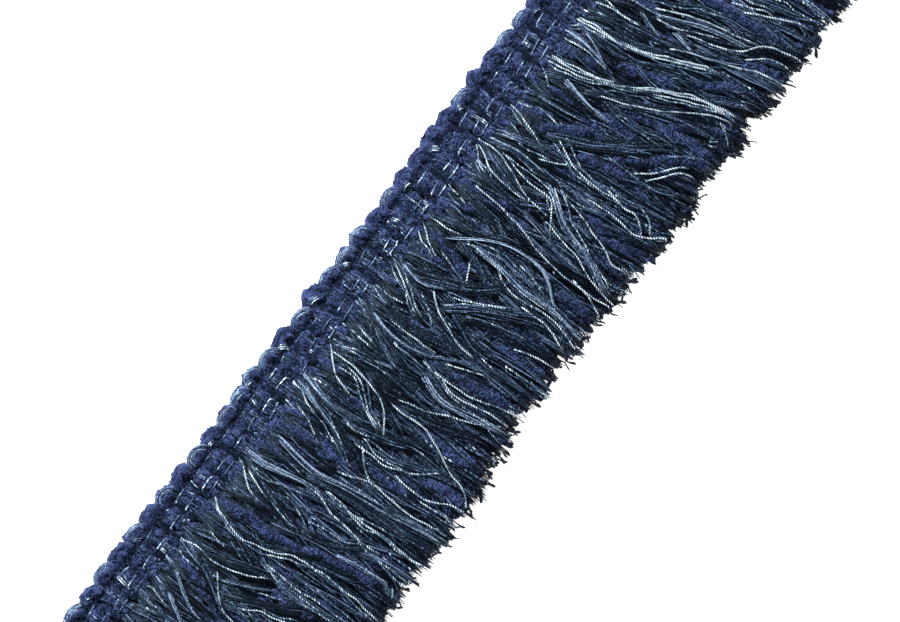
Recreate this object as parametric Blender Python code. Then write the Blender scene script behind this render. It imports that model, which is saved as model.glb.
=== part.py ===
"""A cut length of brush fringe trim, lying flat on its back.

The trim is a narrow woven heading with a looped upper edge, and a skirt of loose cut yarns that hangs
from the heading's lower edge. X runs along the trim, +Y points to the looped edge, and the back is at Z = 0.
"""

import math
import random

import bmesh
import bpy

MM = 0.001

# Driving dimensions
LOOP_PITCH = 7.2 * MM
LOOP_COUNT = 47
TRIM_WIDTH = 76.0 * MM
HEADING_WIDTH = 14.5 * MM
SCALLOP_DEPTH = 2.2 * MM
PIECE_GAP = 0.3 * MM
BACKING_WIDTH = 2.0 * MM
RAGGED_ENDS = 3.4 * MM
UNEVEN_LOOPS = 0.7 * MM
LOOP_HEIGHTS = (0.90, 1.06)
SEED = 11

TRIM_LENGTH = LOOP_PITCH * LOOP_COUNT
CREST_Y = TRIM_WIDTH / 2
HEADING_FOOT_Y = CREST_Y - HEADING_WIDTH
BACKING_TOP_Y = HEADING_FOOT_Y - PIECE_GAP
ROOT_Y = BACKING_TOP_Y - BACKING_WIDTH
LONGEST_TIP_Y = -TRIM_WIDTH / 2
SKIRT_LENGTH = ROOT_Y - LONGEST_TIP_Y

# Cross-levels of the heading, from the loops' crest down to the foot. "ridge" is the height over the
# middle of a loop or bundle, "groove" the height beside it, and "scallop" the share of the looped outline
# that the level follows. "gathered" is 0 where the yarns still form loops and 1 where the legs of two
# neighbouring loops lie together as one bundle. The pinched levels are where chain stitches bind them.
HEADING_LEVELS = [
    {"below_crest": 0.0 * MM, "ridge": 1.7 * MM, "groove": 1.0 * MM, "scallop": 1.00, "gathered": 0.0},
    {"below_crest": 0.8 * MM, "ridge": 3.7 * MM, "groove": 2.0 * MM, "scallop": 0.90, "gathered": 0.0},
    {"below_crest": 2.3 * MM, "ridge": 5.4 * MM, "groove": 2.8 * MM, "scallop": 0.65, "gathered": 0.0},
    {"below_crest": 4.1 * MM, "ridge": 5.6 * MM, "groove": 2.7 * MM, "scallop": 0.30, "gathered": 0.2},
    {"below_crest": 5.9 * MM, "ridge": 4.3 * MM, "groove": 2.4 * MM, "scallop": 0.00, "gathered": 0.7},
    {"below_crest": 7.9 * MM, "ridge": 5.2 * MM, "groove": 2.7 * MM, "scallop": 0.00, "gathered": 1.0},
    {"below_crest": 9.9 * MM, "ridge": 4.1 * MM, "groove": 2.4 * MM, "scallop": 0.00, "gathered": 1.0},
    {"below_crest": 11.4 * MM, "ridge": 5.0 * MM, "groove": 2.7 * MM, "scallop": 0.00, "gathered": 1.0},
    {"below_crest": 12.9 * MM, "ridge": 4.1 * MM, "groove": 2.5 * MM, "scallop": 0.00, "gathered": 1.0},
    {"below_crest": 14.5 * MM, "ridge": 5.0 * MM, "groove": 3.0 * MM, "scallop": 0.00, "gathered": 1.0},
]
# Where the heading's columns lie across one loop, as a share of the pitch from its middle
LOOP_PHASES = (-0.5, -0.36, -0.13, 0.13, 0.36)
CREST_PHASE = 0.13
BUNDLE_HALF_WIDTH = 0.5 - CREST_PHASE

# The skirt's layers, from the floor up. "lean" is how far the tips travel along the trim, "wave" how much
# that changes from place to place, over "wavelength", and "bow" how far the locks curve on the way.
SKIRT_LAYERS = [
    {"name": "skirt_navy_back", "yarn": "navy_yarn", "locks": 58, "width": 3.4 * MM, "height": 0.9 * MM,
     "lean": -2.0 * MM, "wave": 5.0 * MM, "wavelength": 64 * MM, "phase": 0.4, "bow": 1.5 * MM},
    {"name": "skirt_chenille_back", "yarn": "chenille", "locks": 43, "width": 3.1 * MM, "height": 1.5 * MM,
     "lean": 5.0 * MM, "wave": 4.0 * MM, "wavelength": 83 * MM, "phase": 2.1, "bow": -2.0 * MM},
    {"name": "skirt_navy_front", "yarn": "navy_yarn", "locks": 56, "width": 3.0 * MM, "height": 0.9 * MM,
     "lean": -5.0 * MM, "wave": 5.0 * MM, "wavelength": 71 * MM, "phase": 3.9, "bow": 2.5 * MM},
    {"name": "skirt_chenille_front", "yarn": "chenille", "locks": 36, "width": 2.9 * MM, "height": 1.4 * MM,
     "lean": 3.0 * MM, "wave": 5.0 * MM, "wavelength": 97 * MM, "phase": 5.2, "bow": -2.5 * MM},
    {"name": "skirt_light_front", "yarn": "light_yarn", "locks": 54, "width": 1.7 * MM, "height": 0.9 * MM,
     "lean": 6.0 * MM, "wave": 6.0 * MM, "wavelength": 78 * MM, "phase": 1.2, "bow": 3.0 * MM},
]
# How far down a lock its rings are, as a share of its length
LOCK_RINGS = (0.0, 0.15, 0.36, 0.58, 0.79, 1.0)
LEAN_EASE = 1.35
# The right third of the skirt is combed to the right: its tips travel this much further there.
COMBED = {"from_x": 5 * MM, "to_x": 75 * MM, "lean": 8 * MM}
SETTLE = 0.22
END_CALM = 46 * MM
LOCK_CLEARANCE = 0.35 * MM
LOCK_FULLNESS = (0.82, 1.12)
ROOT_NARROWING = 0.62
ROOT_JITTER = 0.12
LOCKS_PER_BACK_POINT = 5

YARNS = {
    "heading_weave": {"colour": (0.024, 0.038, 0.105), "roughness": 0.90},
    "navy_yarn": {"colour": (0.014, 0.026, 0.062), "roughness": 0.75},
    "chenille": {"colour": (0.026, 0.034, 0.160), "roughness": 0.95},
    "light_yarn": {"colour": (0.110, 0.220, 0.340), "roughness": 0.60},
}


def clear_scene():
    for old in list(bpy.data.objects):
        bpy.data.objects.remove(old)


def yarn_material(name):
    look = YARNS[name]
    material = bpy.data.materials.new(name)
    material.use_nodes = True
    shader = material.node_tree.nodes["Principled BSDF"]
    shader.inputs["Base Color"].default_value = (*look["colour"], 1.0)
    shader.inputs["Roughness"].default_value = look["roughness"]
    shader.inputs["Metallic"].default_value = 0.0
    return material


def add_object(name, bm, yarn):
    bmesh.ops.recalc_face_normals(bm, faces=bm.faces)
    mesh = bpy.data.meshes.new(name)
    bm.to_mesh(mesh)
    bm.free()
    mesh.materials.append(bpy.data.materials.get(yarn) or yarn_material(yarn))
    obj = bpy.data.objects.new(name, mesh)
    bpy.context.scene.collection.objects.link(obj)
    return obj


# Heading


def arc(share):
    """The height of a half circle at that share of the way from its middle to its edge."""
    return math.sqrt(max(0.0, 1.0 - share**2))


def loop_profile(phase):
    """1 over the crest of a loop, falling to 0 at the notch beside it."""
    return min(1.0, arc(2.0 * phase) / arc(2.0 * CREST_PHASE))


def bundle_profile(phase):
    """1 at the notch, over the middle of a gathered bundle, falling to 0 below the middle of a loop."""
    return arc((0.5 - abs(phase)) / BUNDLE_HALF_WIDTH)


def heading_columns(rng):
    """(x, phase, loop drop, loop lift) of each column. The drop and lift make the loops uneven."""
    drops = [rng.uniform(0.0, UNEVEN_LOOPS) for _ in range(LOOP_COUNT)]
    highest = min(drops)
    columns = []
    for loop in range(LOOP_COUNT):
        middle = -TRIM_LENGTH / 2 + (loop + 0.5) * LOOP_PITCH
        lift = rng.uniform(*LOOP_HEIGHTS)
        for phase in LOOP_PHASES:
            columns.append((middle + phase * LOOP_PITCH, phase, drops[loop] - highest, lift))
    columns.append((TRIM_LENGTH / 2, 0.5, drops[-1] - highest, 1.0))
    return columns


def build_heading(rng):
    """The woven band: a flat back, domed loops along its upper edge and gathered bundles under them."""
    bm = bmesh.new()
    top, bottom = [], []
    for x, phase, drop, lift in heading_columns(rng):
        loop, bundle = loop_profile(phase), bundle_profile(phase)
        column = []
        for level in HEADING_LEVELS:
            inset = level["scallop"] * (SCALLOP_DEPTH * (1.0 - loop) + drop * loop)
            y = CREST_Y - level["below_crest"] - inset
            profile = loop + (bundle - loop) * level["gathered"]
            rise = (level["ridge"] - level["groove"]) * profile
            column.append(bm.verts.new((x, y, level["groove"] + rise * lift)))
        top.append(column)
        bottom.append([bm.verts.new((x, column[end].co.y, 0.0)) for end in (0, -1)])
    for left, right, low_left, low_right in zip(top, top[1:], bottom, bottom[1:]):
        for upper in range(len(left) - 1):
            bm.faces.new((left[upper + 1], right[upper + 1], right[upper], left[upper]))
        bm.faces.new((low_left[0], low_right[0], low_right[1], low_left[1]))
        bm.faces.new((left[0], right[0], low_right[0], low_left[0]))
        bm.faces.new((low_left[1], low_right[1], right[-1], left[-1]))
    bm.faces.new([bottom[0][0], bottom[0][1], *reversed(top[0])])
    bm.faces.new([bottom[-1][1], bottom[-1][0], *top[-1]])
    add_object("heading", bm, "heading_weave")


# Skirt


def smooth_step(value):
    """0 below 0, 1 above 1, and an even ease between."""
    value = min(1.0, max(0.0, value))
    return value * value * (3.0 - 2.0 * value)


def end_calm(x):
    """1 along the trim, easing to 0 at its two cut ends, so that no lock sways past them."""
    return smooth_step((TRIM_LENGTH / 2 - abs(x)) / END_CALM)


def combed_lean(x):
    """How much further the tips travel because the skirt is combed to one side there."""
    return COMBED["lean"] * smooth_step((x - COMBED["from_x"]) / (COMBED["to_x"] - COMBED["from_x"]))


def lock_shift(layer, x, share):
    """How far along the trim a lock has travelled from its root at x, that share of its length down."""
    turn = 2.0 * math.pi * x / layer["wavelength"] + layer["phase"]
    lean = (layer["lean"] + layer["wave"] * math.sin(turn) + combed_lean(x)) * share**LEAN_EASE
    bow = layer["bow"] * math.cos(0.5 * turn) * math.sin(math.pi * share)
    return end_calm(x) * (lean + bow)


def layer_roots(layer, rng):
    """The roots' places along the trim, a little unevenly spaced."""
    spacing = (TRIM_LENGTH - 2 * layer["width"]) / layer["locks"]
    start = -TRIM_LENGTH / 2 + layer["width"]
    places = [i + 0.5 + rng.uniform(-ROOT_JITTER, ROOT_JITTER) for i in range(layer["locks"])]
    return [start + place * spacing for place in places]


def lock_tips(layer, rng):
    """How far short of the longest lock each one is cut."""
    short = [RAGGED_ENDS * rng.random() for _ in range(layer["locks"])]
    return [value - min(short) for value in short]


def widths_at(layer, xs, share, fullness):
    """The locks' widths at one ring: full, but narrower at the root and where neighbours close in."""
    wide = ROOT_NARROWING + (1.0 - ROOT_NARROWING) * min(1.0, share / LOCK_RINGS[2])
    widths = []
    for i, x in enumerate(xs):
        room = min(abs(x - xs[j]) for j in (i - 1, i + 1) if 0 <= j < len(xs))
        widths.append(min(layer["width"] * wide * fullness[i], room - LOCK_CLEARANCE))
    return widths


def add_backing(bm, roots, base, height):
    """The strip that the locks' roots are fused into. roots has each root's four corners on its front."""
    half = TRIM_LENGTH / 2
    ends = []
    for x in (-half, half):
        low, high = bm.verts.new((x, ROOT_Y, base)), bm.verts.new((x, ROOT_Y, base + height))
        ends.append((low, high))
    low_front = [ends[0][0], *(v for root in roots for v in (root["bl"], root["br"])), ends[1][0]]
    high_front = [ends[0][1], *(v for root in roots for v in (root["tl"], root["tr"])), ends[1][1]]
    for i in range(0, len(low_front), 2):
        bm.faces.new((low_front[i], low_front[i + 1], high_front[i + 1], high_front[i]))
    groups = max(1, len(roots) // LOCKS_PER_BACK_POINT)
    back_x = [-half + 2 * half * i / groups for i in range(groups + 1)]
    low_back = [bm.verts.new((x, BACKING_TOP_Y, base)) for x in back_x]
    high_back = [bm.verts.new((x, BACKING_TOP_Y, base + height)) for x in back_x]
    for a, b, c, d in zip(low_back, low_back[1:], high_back, high_back[1:]):
        bm.faces.new((b, a, c, d))
    fan(bm, high_front, high_back, facing_up=True)
    fan(bm, low_front, low_back, facing_up=False)
    bm.faces.new((low_front[0], high_front[0], high_back[0], low_back[0]))
    bm.faces.new((low_back[-1], high_back[-1], high_front[-1], low_front[-1]))


def fan(bm, front, back, facing_up):
    """Triangles between two rows of points along the strip, each next one the shorter way across."""
    i = j = 0
    while i < len(front) - 1 or j < len(back) - 1:
        step_front = j == len(back) - 1
        if i < len(front) - 1 and j < len(back) - 1:
            step_front = front[i + 1].co.x <= back[j + 1].co.x
        if step_front:
            corners = (front[i], front[i + 1], back[j])
            i += 1
        else:
            corners = (front[i], back[j + 1], back[j])
            j += 1
        bm.faces.new(corners if facing_up else corners[::-1])


def add_lock(bm, rings):
    """A lock of three sides with its flat side down, from its four-cornered root to its cut tip."""
    first = rings[0]
    y, base, height = first["y"], first["base"], first["height"]
    left, right = first["x"] - first["width"] / 2, first["x"] + first["width"] / 2
    root = {
        "bl": bm.verts.new((left, y, base)),
        "br": bm.verts.new((right, y, base)),
        "tl": bm.verts.new((left, y, base + height)),
        "tr": bm.verts.new((right, y, base + height)),
    }
    above_l, above_r, above_tl, above_tr = root["bl"], root["br"], root["tl"], root["tr"]
    for ring in rings[1:]:
        low_l = bm.verts.new((ring["x"] - ring["width"] / 2, ring["y"], ring["base"]))
        low_r = bm.verts.new((ring["x"] + ring["width"] / 2, ring["y"], ring["base"]))
        ridge = bm.verts.new((ring["x"], ring["y"], ring["base"] + ring["height"]))
        bm.faces.new((above_r, above_l, low_l, low_r))
        bm.faces.new((above_l, above_tl, ridge, low_l))
        bm.faces.new((above_tr, above_r, low_r, ridge))
        if above_tl is not above_tr:
            bm.faces.new((above_tl, above_tr, ridge))
        above_l, above_r, above_tl, above_tr = low_l, low_r, ridge, ridge
    bm.faces.new((above_l, above_tl, above_r))
    return root


def build_layer(layer, floor, rng):
    """One layer of locks on its backing strip. floor is the height of the strip's underside."""
    roots = layer_roots(layer, rng)
    shorter = lock_tips(layer, rng)
    fullness = [rng.uniform(*LOCK_FULLNESS) for _ in roots]
    locks = [[] for _ in roots]
    for share in LOCK_RINGS:
        xs = [x + lock_shift(layer, x, share) for x in roots]
        settled = 1.0 - SETTLE * share
        for i, width in enumerate(widths_at(layer, xs, share, fullness)):
            locks[i].append({
                "x": xs[i],
                "y": ROOT_Y - SKIRT_LENGTH * share + (shorter[i] if share == 1.0 else 0.0),
                "width": width,
                "base": floor * settled,
                "height": layer["height"] * settled,
            })
    bm = bmesh.new()
    corners = [add_lock(bm, rings) for rings in locks]
    add_backing(bm, corners, floor, layer["height"])
    add_object(layer["name"], bm, layer["yarn"])


def main():
    clear_scene()
    rng = random.Random(SEED)
    build_heading(rng)
    floor = 0.0
    for layer in SKIRT_LAYERS:
        build_layer(layer, floor, rng)
        floor += layer["height"] + PIECE_GAP


main()
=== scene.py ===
"""The looks of a brush fringe trim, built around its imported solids.

X runs along the trim, +Y points to the looped edge and Z is up. Each yarn is swept along its own centre
line: looped bundles and chain stitches on the heading, and a skirt of fine filaments, silky bands,
chenille and plied yarns that fan out and cross.
"""

import math
from collections import namedtuple

import bpy
import numpy as np
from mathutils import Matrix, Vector


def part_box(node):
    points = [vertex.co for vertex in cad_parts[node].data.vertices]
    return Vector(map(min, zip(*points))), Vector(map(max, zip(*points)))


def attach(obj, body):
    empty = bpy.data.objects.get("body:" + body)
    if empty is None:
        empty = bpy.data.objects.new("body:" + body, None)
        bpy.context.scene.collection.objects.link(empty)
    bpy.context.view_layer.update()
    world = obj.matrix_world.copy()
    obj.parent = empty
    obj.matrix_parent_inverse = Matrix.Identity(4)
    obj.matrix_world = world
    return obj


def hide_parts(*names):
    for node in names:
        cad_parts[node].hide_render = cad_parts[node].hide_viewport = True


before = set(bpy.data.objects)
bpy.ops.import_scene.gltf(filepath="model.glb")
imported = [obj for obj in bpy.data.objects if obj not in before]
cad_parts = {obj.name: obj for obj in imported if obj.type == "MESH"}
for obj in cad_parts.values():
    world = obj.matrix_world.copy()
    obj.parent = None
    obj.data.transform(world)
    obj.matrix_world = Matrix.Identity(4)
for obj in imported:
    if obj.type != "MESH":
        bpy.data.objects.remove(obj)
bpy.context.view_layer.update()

MM = 0.001
SEED = 20
LOOP_COUNT = 47

heading_low, heading_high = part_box("heading")
skirt_low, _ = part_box("skirt_navy_back")
HALF_LENGTH = heading_high.x
LOOP_PITCH = 2 * HALF_LENGTH / LOOP_COUNT
CREST_Y = heading_high.y
FOOT_Y = heading_low.y
TIP_Y = skirt_low.y
ROOT_Y = FOOT_Y + 1.5 * MM

# Height of the skirt's visible surface, from the heading's foot to the cut tips
SURFACE_Y = np.array([26.0, 23.0, 17.0, 5.0, -12.0, -28.0, -38.0]) * MM
SURFACE_Z = np.array([4.4, 5.2, 7.0, 7.6, 6.9, 5.6, 4.2]) * MM
ROOT_Z = 2.4 * MM

# Rows of chain stitch: how far below the crest each lies
STITCH_ROWS = (6.8 * MM, 10.8 * MM, 13.5 * MM)

rng = np.random.default_rng(SEED)


# Curves


def smooth(value):
    """0 below 0, 1 above 1, and an even ease between."""
    value = np.clip(value, 0.0, 1.0)
    return value * value * (3.0 - 2.0 * value)


def unit(vectors):
    """The same directions, each one long."""
    return vectors / np.linalg.norm(vectors, axis=-1, keepdims=True)


def around(sides):
    """Angles evenly round a circle."""
    return np.linspace(0.0, 2 * np.pi, sides, endpoint=False)


def bell(distance, width):
    """1 at no distance, falling to 0 over about twice width."""
    return np.exp(-((distance / width) ** 2))


def inside(x, margin):
    """x kept that far inside the trim's two cut ends."""
    return np.clip(x, -HALF_LENGTH + margin, HALF_LENGTH - margin)


def spaced(count, margin):
    """count places evenly along the trim, that far inside its two cut ends."""
    return np.linspace(-HALF_LENGTH + margin, HALF_LENGTH - margin, count)


def hermite(start, end, start_slope, end_slope, t):
    """A cubic between two points with a slope at each, at the shares t of the way."""
    t = t[:, None]
    return (
        (2 * t**3 - 3 * t**2 + 1) * start
        + (t**3 - 2 * t**2 + t) * start_slope
        + (-2 * t**3 + 3 * t**2) * end
        + (t**3 - t**2) * end_slope
    )


def surface_z(y):
    """The height of the skirt's surface at y."""
    return np.interp(-y, -SURFACE_Y, SURFACE_Z)


def lengths_along(path):
    """The distance along the line to each of its points. Columns after the third are values kept there."""
    steps = np.linalg.norm(np.diff(path[:, :3], axis=0), axis=1)
    return np.concatenate([[0.0], np.cumsum(steps)])


def resample(path, spacing):
    """The same line with its points that far apart. spacing is one length, or one for each point."""
    along = lengths_along(path)
    spacing = np.broadcast_to(spacing, along.shape)
    steps = np.diff(along) / (0.5 * (spacing[1:] + spacing[:-1]))
    marks = np.concatenate([[0.0], np.cumsum(steps)])
    at = np.linspace(0.0, marks[-1], max(3, int(round(marks[-1])) + 1))
    return np.stack([np.interp(at, marks, path[:, k]) for k in range(path.shape[1])], axis=1)


ROUTE_STEP = 0.7 * MM


def route(points):
    """A smooth flat line, in metres, through points (x, y) given in mm."""
    knots = np.array(points) * MM
    along = lengths_along(knots)
    slopes = np.gradient(knots, along, axis=0)
    at = np.linspace(0.0, along[-1], max(8, int(along[-1] / ROUTE_STEP)))
    span = np.clip(np.searchsorted(along, at, side="right") - 1, 0, len(knots) - 2)
    length = (along[span + 1] - along[span])[:, None]
    t = (at - along[span]) / length[:, 0]
    return eased(hermite(knots[span], knots[span + 1], slopes[span] * length, slopes[span + 1] * length, t))


EASE_POINTS = 5


def eased(line):
    """The same line with its sharp turns rounded off."""
    padded = np.pad(line, ((EASE_POINTS, EASE_POINTS), (0, 0)), mode="reflect", reflect_type="odd")
    weights = np.hanning(2 * EASE_POINTS + 3)[1:-1]
    weights /= weights.sum()
    return np.stack([np.convolve(padded[:, k], weights, "valid") for k in range(line.shape[1])], axis=1)


# Sweeping yarns into meshes


def put(name, data):
    """A new object in the scene."""
    thing = bpy.data.objects.new(name, data)
    bpy.context.scene.collection.objects.link(thing)
    return thing


class Bunch:
    """Gathers swept yarns into one mesh. tone and groove are kept at each point for the material; groove is
    how much painted shade it gets there.
    """

    def __init__(self):
        self.points = []
        self.tones = []
        self.grooves = []
        self.loops = []
        self.totals = []
        self.count = 0

    def add(self, points, polygons, tone, groove):
        """points (n, 3), polygons a list of index arrays (m, corners), tone and groove (n,).

        The floor flattens what would reach below it.
        """
        points[:, 2] = np.maximum(points[:, 2], 0.0)
        self.points.append(points)
        self.tones.append(tone)
        self.grooves.append(groove)
        for polygon in polygons:
            self.loops.append((polygon + self.count).ravel())
            self.totals.append(np.full(len(polygon), polygon.shape[1]))
        self.count += len(points)

    def build(self, name, material, slot, replaced=()):
        totals = np.concatenate(self.totals)
        mesh = bpy.data.meshes.new(name)
        mesh.vertices.add(self.count)
        mesh.vertices.foreach_set("co", np.concatenate(self.points).astype(np.float32).ravel())
        mesh.loops.add(int(totals.sum()))
        mesh.loops.foreach_set("vertex_index", np.concatenate(self.loops).astype(np.int32))
        mesh.polygons.add(len(totals))
        starts = np.concatenate([[0], np.cumsum(totals)[:-1]])
        mesh.polygons.foreach_set("loop_start", starts.astype(np.int32))
        mesh.polygons.foreach_set("use_smooth", np.ones(len(totals), bool))
        mesh.update(calc_edges=True)
        for label, values in (("tone", self.tones), ("groove", self.grooves)):
            attribute = mesh.attributes.new(label, "FLOAT", "POINT")
            attribute.data.foreach_set("value", np.concatenate(values).astype(np.float32))
        mesh.materials.append(material)
        piece = put(name, mesh)
        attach(piece, "root")
        if replaced:
            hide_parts(*replaced)
        print(name, int((totals - 2).sum()), "triangles")


def frames(paths):
    """Directions to the side of and above each point of the paths (yarns, stations, 3)."""
    tangents = unit(np.gradient(paths, axis=1))
    sides = unit(np.cross(tangents, (0.0, 0.0, 1.0)))
    return sides, np.cross(sides, tangents)


def tube_polygons(yarns, stations, sides):
    """Index arrays of the quads and the two end caps of swept yarns, facing out."""
    ring = np.arange(sides)
    after = (ring + 1) % sides
    base = (np.arange(yarns)[:, None] * stations + np.arange(stations - 1)[None, :])[:, :, None] * sides
    quads = np.stack([base + ring, base + sides + ring, base + sides + after, base + after], axis=3)
    first = np.arange(yarns)[:, None] * stations * sides + ring
    last = first[:, ::-1] + (stations - 1) * sides
    return [quads.reshape(-1, 4), first, last]


def sweep(bunch, paths, radius, sides, tone, section=None, twist=None, groove=None, slant=0.0):
    """Sweeps a section along each of paths (yarns, stations, 3).

    radius and tone broadcast to (yarns, stations), section scales the radius at each side, twist is the
    turn of the section at each station and slant is how far its right side lies ahead of its middle.
    """
    yarns, stations, _ = paths.shape
    side, above = frames(paths)
    angle = around(sides)[None, None, :]
    if twist is not None:
        angle = angle + np.broadcast_to(twist, (yarns, stations))[:, :, None]
    reach = np.broadcast_to(radius, (yarns, stations))[:, :, None]
    if section is not None:
        reach = reach * section
    reach = np.broadcast_to(reach, (yarns, stations, sides))
    points = (
        paths[:, :, None, :]
        + (reach * np.cos(angle))[..., None] * side[:, :, None, :]
        + (reach * np.sin(angle))[..., None] * above[:, :, None, :]
        + slant * np.cos(angle)[..., None] * np.cross(above, side)[:, :, None, :]
    )
    tones = np.broadcast_to(np.broadcast_to(tone, (yarns, stations))[:, :, None], points.shape[:3])
    grooves = np.broadcast_to(0.0 if groove is None else groove, points.shape[:3])
    polygons = tube_polygons(yarns, stations, sides)
    bunch.add(points.reshape(-1, 3), polygons, tones.ravel(), grooves.ravel())


PLY_SIDES = 4
PLY_SLANT = 0.26 * MM
PLY_NECK = 0.64
# How much painted shade the plied yarn's material puts on a bead on top and in the groove between
GROOVE_ON_TOP = -0.3
GROOVE_BETWEEN = 1.6
PLY_SCATTER = 0.16
PLY_UNEVEN = 0.08
GROOVE_SCATTER = 0.15
FINE_STEP = 0.39 * MM
HIDDEN_STEP = 3.0 * MM


def plied_yarn(bunch, path, radius, tone, spacing=FINE_STEP):
    """A two-ply yarn: one ply after the other comes to the top as a bead, with a slanting groove between
    that is darkened with painted shade.
    """
    if spacing is not None:
        path = resample(path, spacing)
    stations = len(path)
    between = (np.arange(stations) + rng.integers(2)) % 2 == 1
    reach = radius * np.where(between, PLY_NECK, 1.0) * rng.normal(1.0, PLY_UNEVEN, stations)
    # painted shade: full in the groove between plies, none on a bead
    groove = np.where(between, GROOVE_BETWEEN, GROOVE_ON_TOP) + rng.normal(0.0, GROOVE_SCATTER, stations)
    tones = tone + rng.normal(0.0, PLY_SCATTER, stations)
    sweep(bunch, path[None], reach, PLY_SIDES, tones, groove=groove[None, :, None], slant=PLY_SLANT)


WOBBLE_LENGTH = 11.0 * MM


def wobble(path, amount):
    """Adds the slight waviness of a loose yarn."""
    beat = 2 * np.pi * lengths_along(path) / WOBBLE_LENGTH
    phase = rng.uniform(0, 2 * np.pi, 3)
    path = path.copy()
    path[:, 0] += amount * (np.sin(beat + phase[0]) + 0.5 * np.sin(1.9 * beat + phase[1]))
    path[:, 2] += 0.5 * amount * np.sin(1.2 * beat + phase[2])
    return path


# The lie of the skirt

# The right third of the skirt is combed to the right.
COMBED_FROM_X = 5 * MM
COMBED_TO_X = 75 * MM
COMBED_LEAN = 9 * MM
END_CALM = 46 * MM


def combed(x):
    return COMBED_LEAN * smooth((x - COMBED_FROM_X) / (COMBED_TO_X - COMBED_FROM_X))


def end_calm(x):
    """1 along the trim, easing to 0 at its two cut ends, so that no yarn sways past them."""
    return smooth((HALF_LENGTH - np.abs(x)) / END_CALM)


# Along the trim, in mm: x, and how far the skirt's cut edge stops short of its longest locks there
EDGE = ((-170, 1.5), (-100, 1.2), (-84, 0.8), (-62, 0.2), (-46, 0.5), (-36, 0.9), (-30, 3.1), (-12, 4.3),
        (10, 4.0), (24, 3.6), (34, 2.5), (50, 2.0), (58, 0.7), (64, 0.9), (70, 3.2), (82, 3.1), (87, 1.7),
        (91, 0.3), (94, 3.3), (101, 3.5), (104, 1.7), (112, 2.0), (120, 2.0), (170, 2.0))
EDGE_X, EDGE_SHORT = np.array(EDGE).T * MM
# The small waves of the cut edge: the height and length of each in mm, and where it starts
EDGE_WAVES = ((0.6, 2.9, 0.0), (0.45, 1.3, 1.0), (0.3, 0.7, 0.0))
EDGE_LEVEL = 0.6


def tip_line(x):
    """How far the skirt reaches at x: its cut edge is uneven."""
    wave = sum(height * np.sin(x / (length * MM) + start) for height, length, start in EDGE_WAVES)
    return TIP_Y + np.interp(x, EDGE_X, EDGE_SHORT) + (EDGE_LEVEL + wave) * MM


# Filaments

WANDER = 0.20
RAGGED = 0.9 * MM
RAGGED_SHORT = 0.2 * MM


def last_fifth(t):
    """0 along a lock, easing to 1 over the last fifth of its length."""
    return smooth((t - 0.8) / 0.2)


def fill_lock(bunch, centres, half_width, half_height, per_lock, tone, radius, scatter=0.40):
    """Fills locks with fine filaments that wander round their centre lines (locks, stations, 3).

    half_width is for each lock and station, half_height and tone for each lock.
    """
    locks, stations, _ = centres.shape
    t = np.linspace(0.0, 1.0, stations)
    shape = (locks, per_lock, 1)
    ring = np.sqrt(rng.random(shape))
    turn = rng.uniform(0, 2 * np.pi, shape) + rng.normal(0.0, 1.0, (locks, 1, 1)) * t
    wander = rng.uniform(0, 2 * np.pi, (2, *shape))
    beat = rng.uniform(1.0, 2.6, (2, *shape))
    u = ring * np.cos(turn) + WANDER * np.sin(2 * np.pi * beat[0] * t + wander[0])
    v = ring * np.sin(turn) + WANDER * np.sin(2 * np.pi * beat[1] * t + wander[1])
    ragged = rng.normal(RAGGED_SHORT, RAGGED, shape) + rng.normal(0.0, RAGGED, (locks, 1, 1))
    x = centres[:, None, :, 0] + u * half_width[:, None, :]
    y = centres[:, None, :, 1] + ragged * last_fifth(t)
    thick = radius * rng.uniform(0.75, 1.3, shape)
    z = np.maximum(centres[:, None, :, 2] + v * half_height[:, None, None], thick)
    paths = np.stack([x, y, z], axis=3).reshape(locks * per_lock, stations, 3)
    tones = tone[:, None, None] + rng.normal(0.0, scatter, shape)
    turns = rng.uniform(0, 2, (locks * per_lock, 1))
    sweep(bunch, paths, thick.reshape(-1, 1), 3, tones.reshape(-1, 1), twist=turns)


# Tiers of locks that fan out from the notches between the heading's loops. Each lock spreads sideways by
# about reach between two shares of its length, and rises from its low level to its high one between two
# others. Levels are shares of the surface height, reach, scatter and half_width are in mm and stations are
# the shares of its length at which it is drawn. piece is the piece that its filaments belong to.
Tier = namedtuple("Tier", "piece low high rise_from rise_to spread_from spread_to reach scatter filaments"
                          " half_width tone stations")
EVEN = (0.0, 0.10, 0.25, 0.45, 0.65, 0.85, 1.0)
UPPER = (0.0, 0.05, 0.10, 0.15, 0.21, 0.28, 0.36, 0.48, 0.72, 1.0)
MIDDLE = (0.0, 0.16, 0.27, 0.34, 0.41, 0.48, 0.56, 0.64, 0.80, 1.0)
LOWER = (0.0, 0.2, 0.4, 0.5, 0.59, 0.68, 0.77, 0.86, 0.94, 1.0)
TIERS = {
    "filler": Tier("back", 0.45, 0.50, 0.0, 1.0, 0.0, 0.5, 3.0, 4.0, 9, 2.3, 0.10, EVEN),
    "lower": Tier("front", 0.50, 0.86, 0.50, 1.3, 0.42, 1.0, 3.6, 2.2, 12, 1.7, 0.30, LOWER),
    "middle": Tier("front", 0.56, 0.90, 0.26, 0.64, 0.20, 0.60, 4.4, 1.6, 11, 1.6, 0.23, MIDDLE),
    "upper": Tier("top", 0.58, 0.93, -0.2, 0.33, 0.0, 0.32, 4.1, 1.1, 11, 1.5, -0.06, UPPER),
    "throat": Tier("top", 0.58, 0.90, -0.2, 0.40, 0.0, 0.36, 1.6, 1.0, 8, 1.2, -0.10, UPPER),
}
FILAMENT_RADIUS = 0.17 * MM
FILLER_RADIUS = 0.46 * MM
FLOOR_YARNS = 380
FLOOR_RADIUS = 0.54 * MM
FLOOR_SWAY = 0.6 * MM
EASE_SHARE = 0.10
FAN_QUICKNESS = 1.7
END_MARGIN = 2.2 * MM
DRIFT = 3.6 * MM
DRAWN_BACK = 0.35
BOW = 0.8 * MM
LEVEL_SCATTER = 0.035
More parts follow.
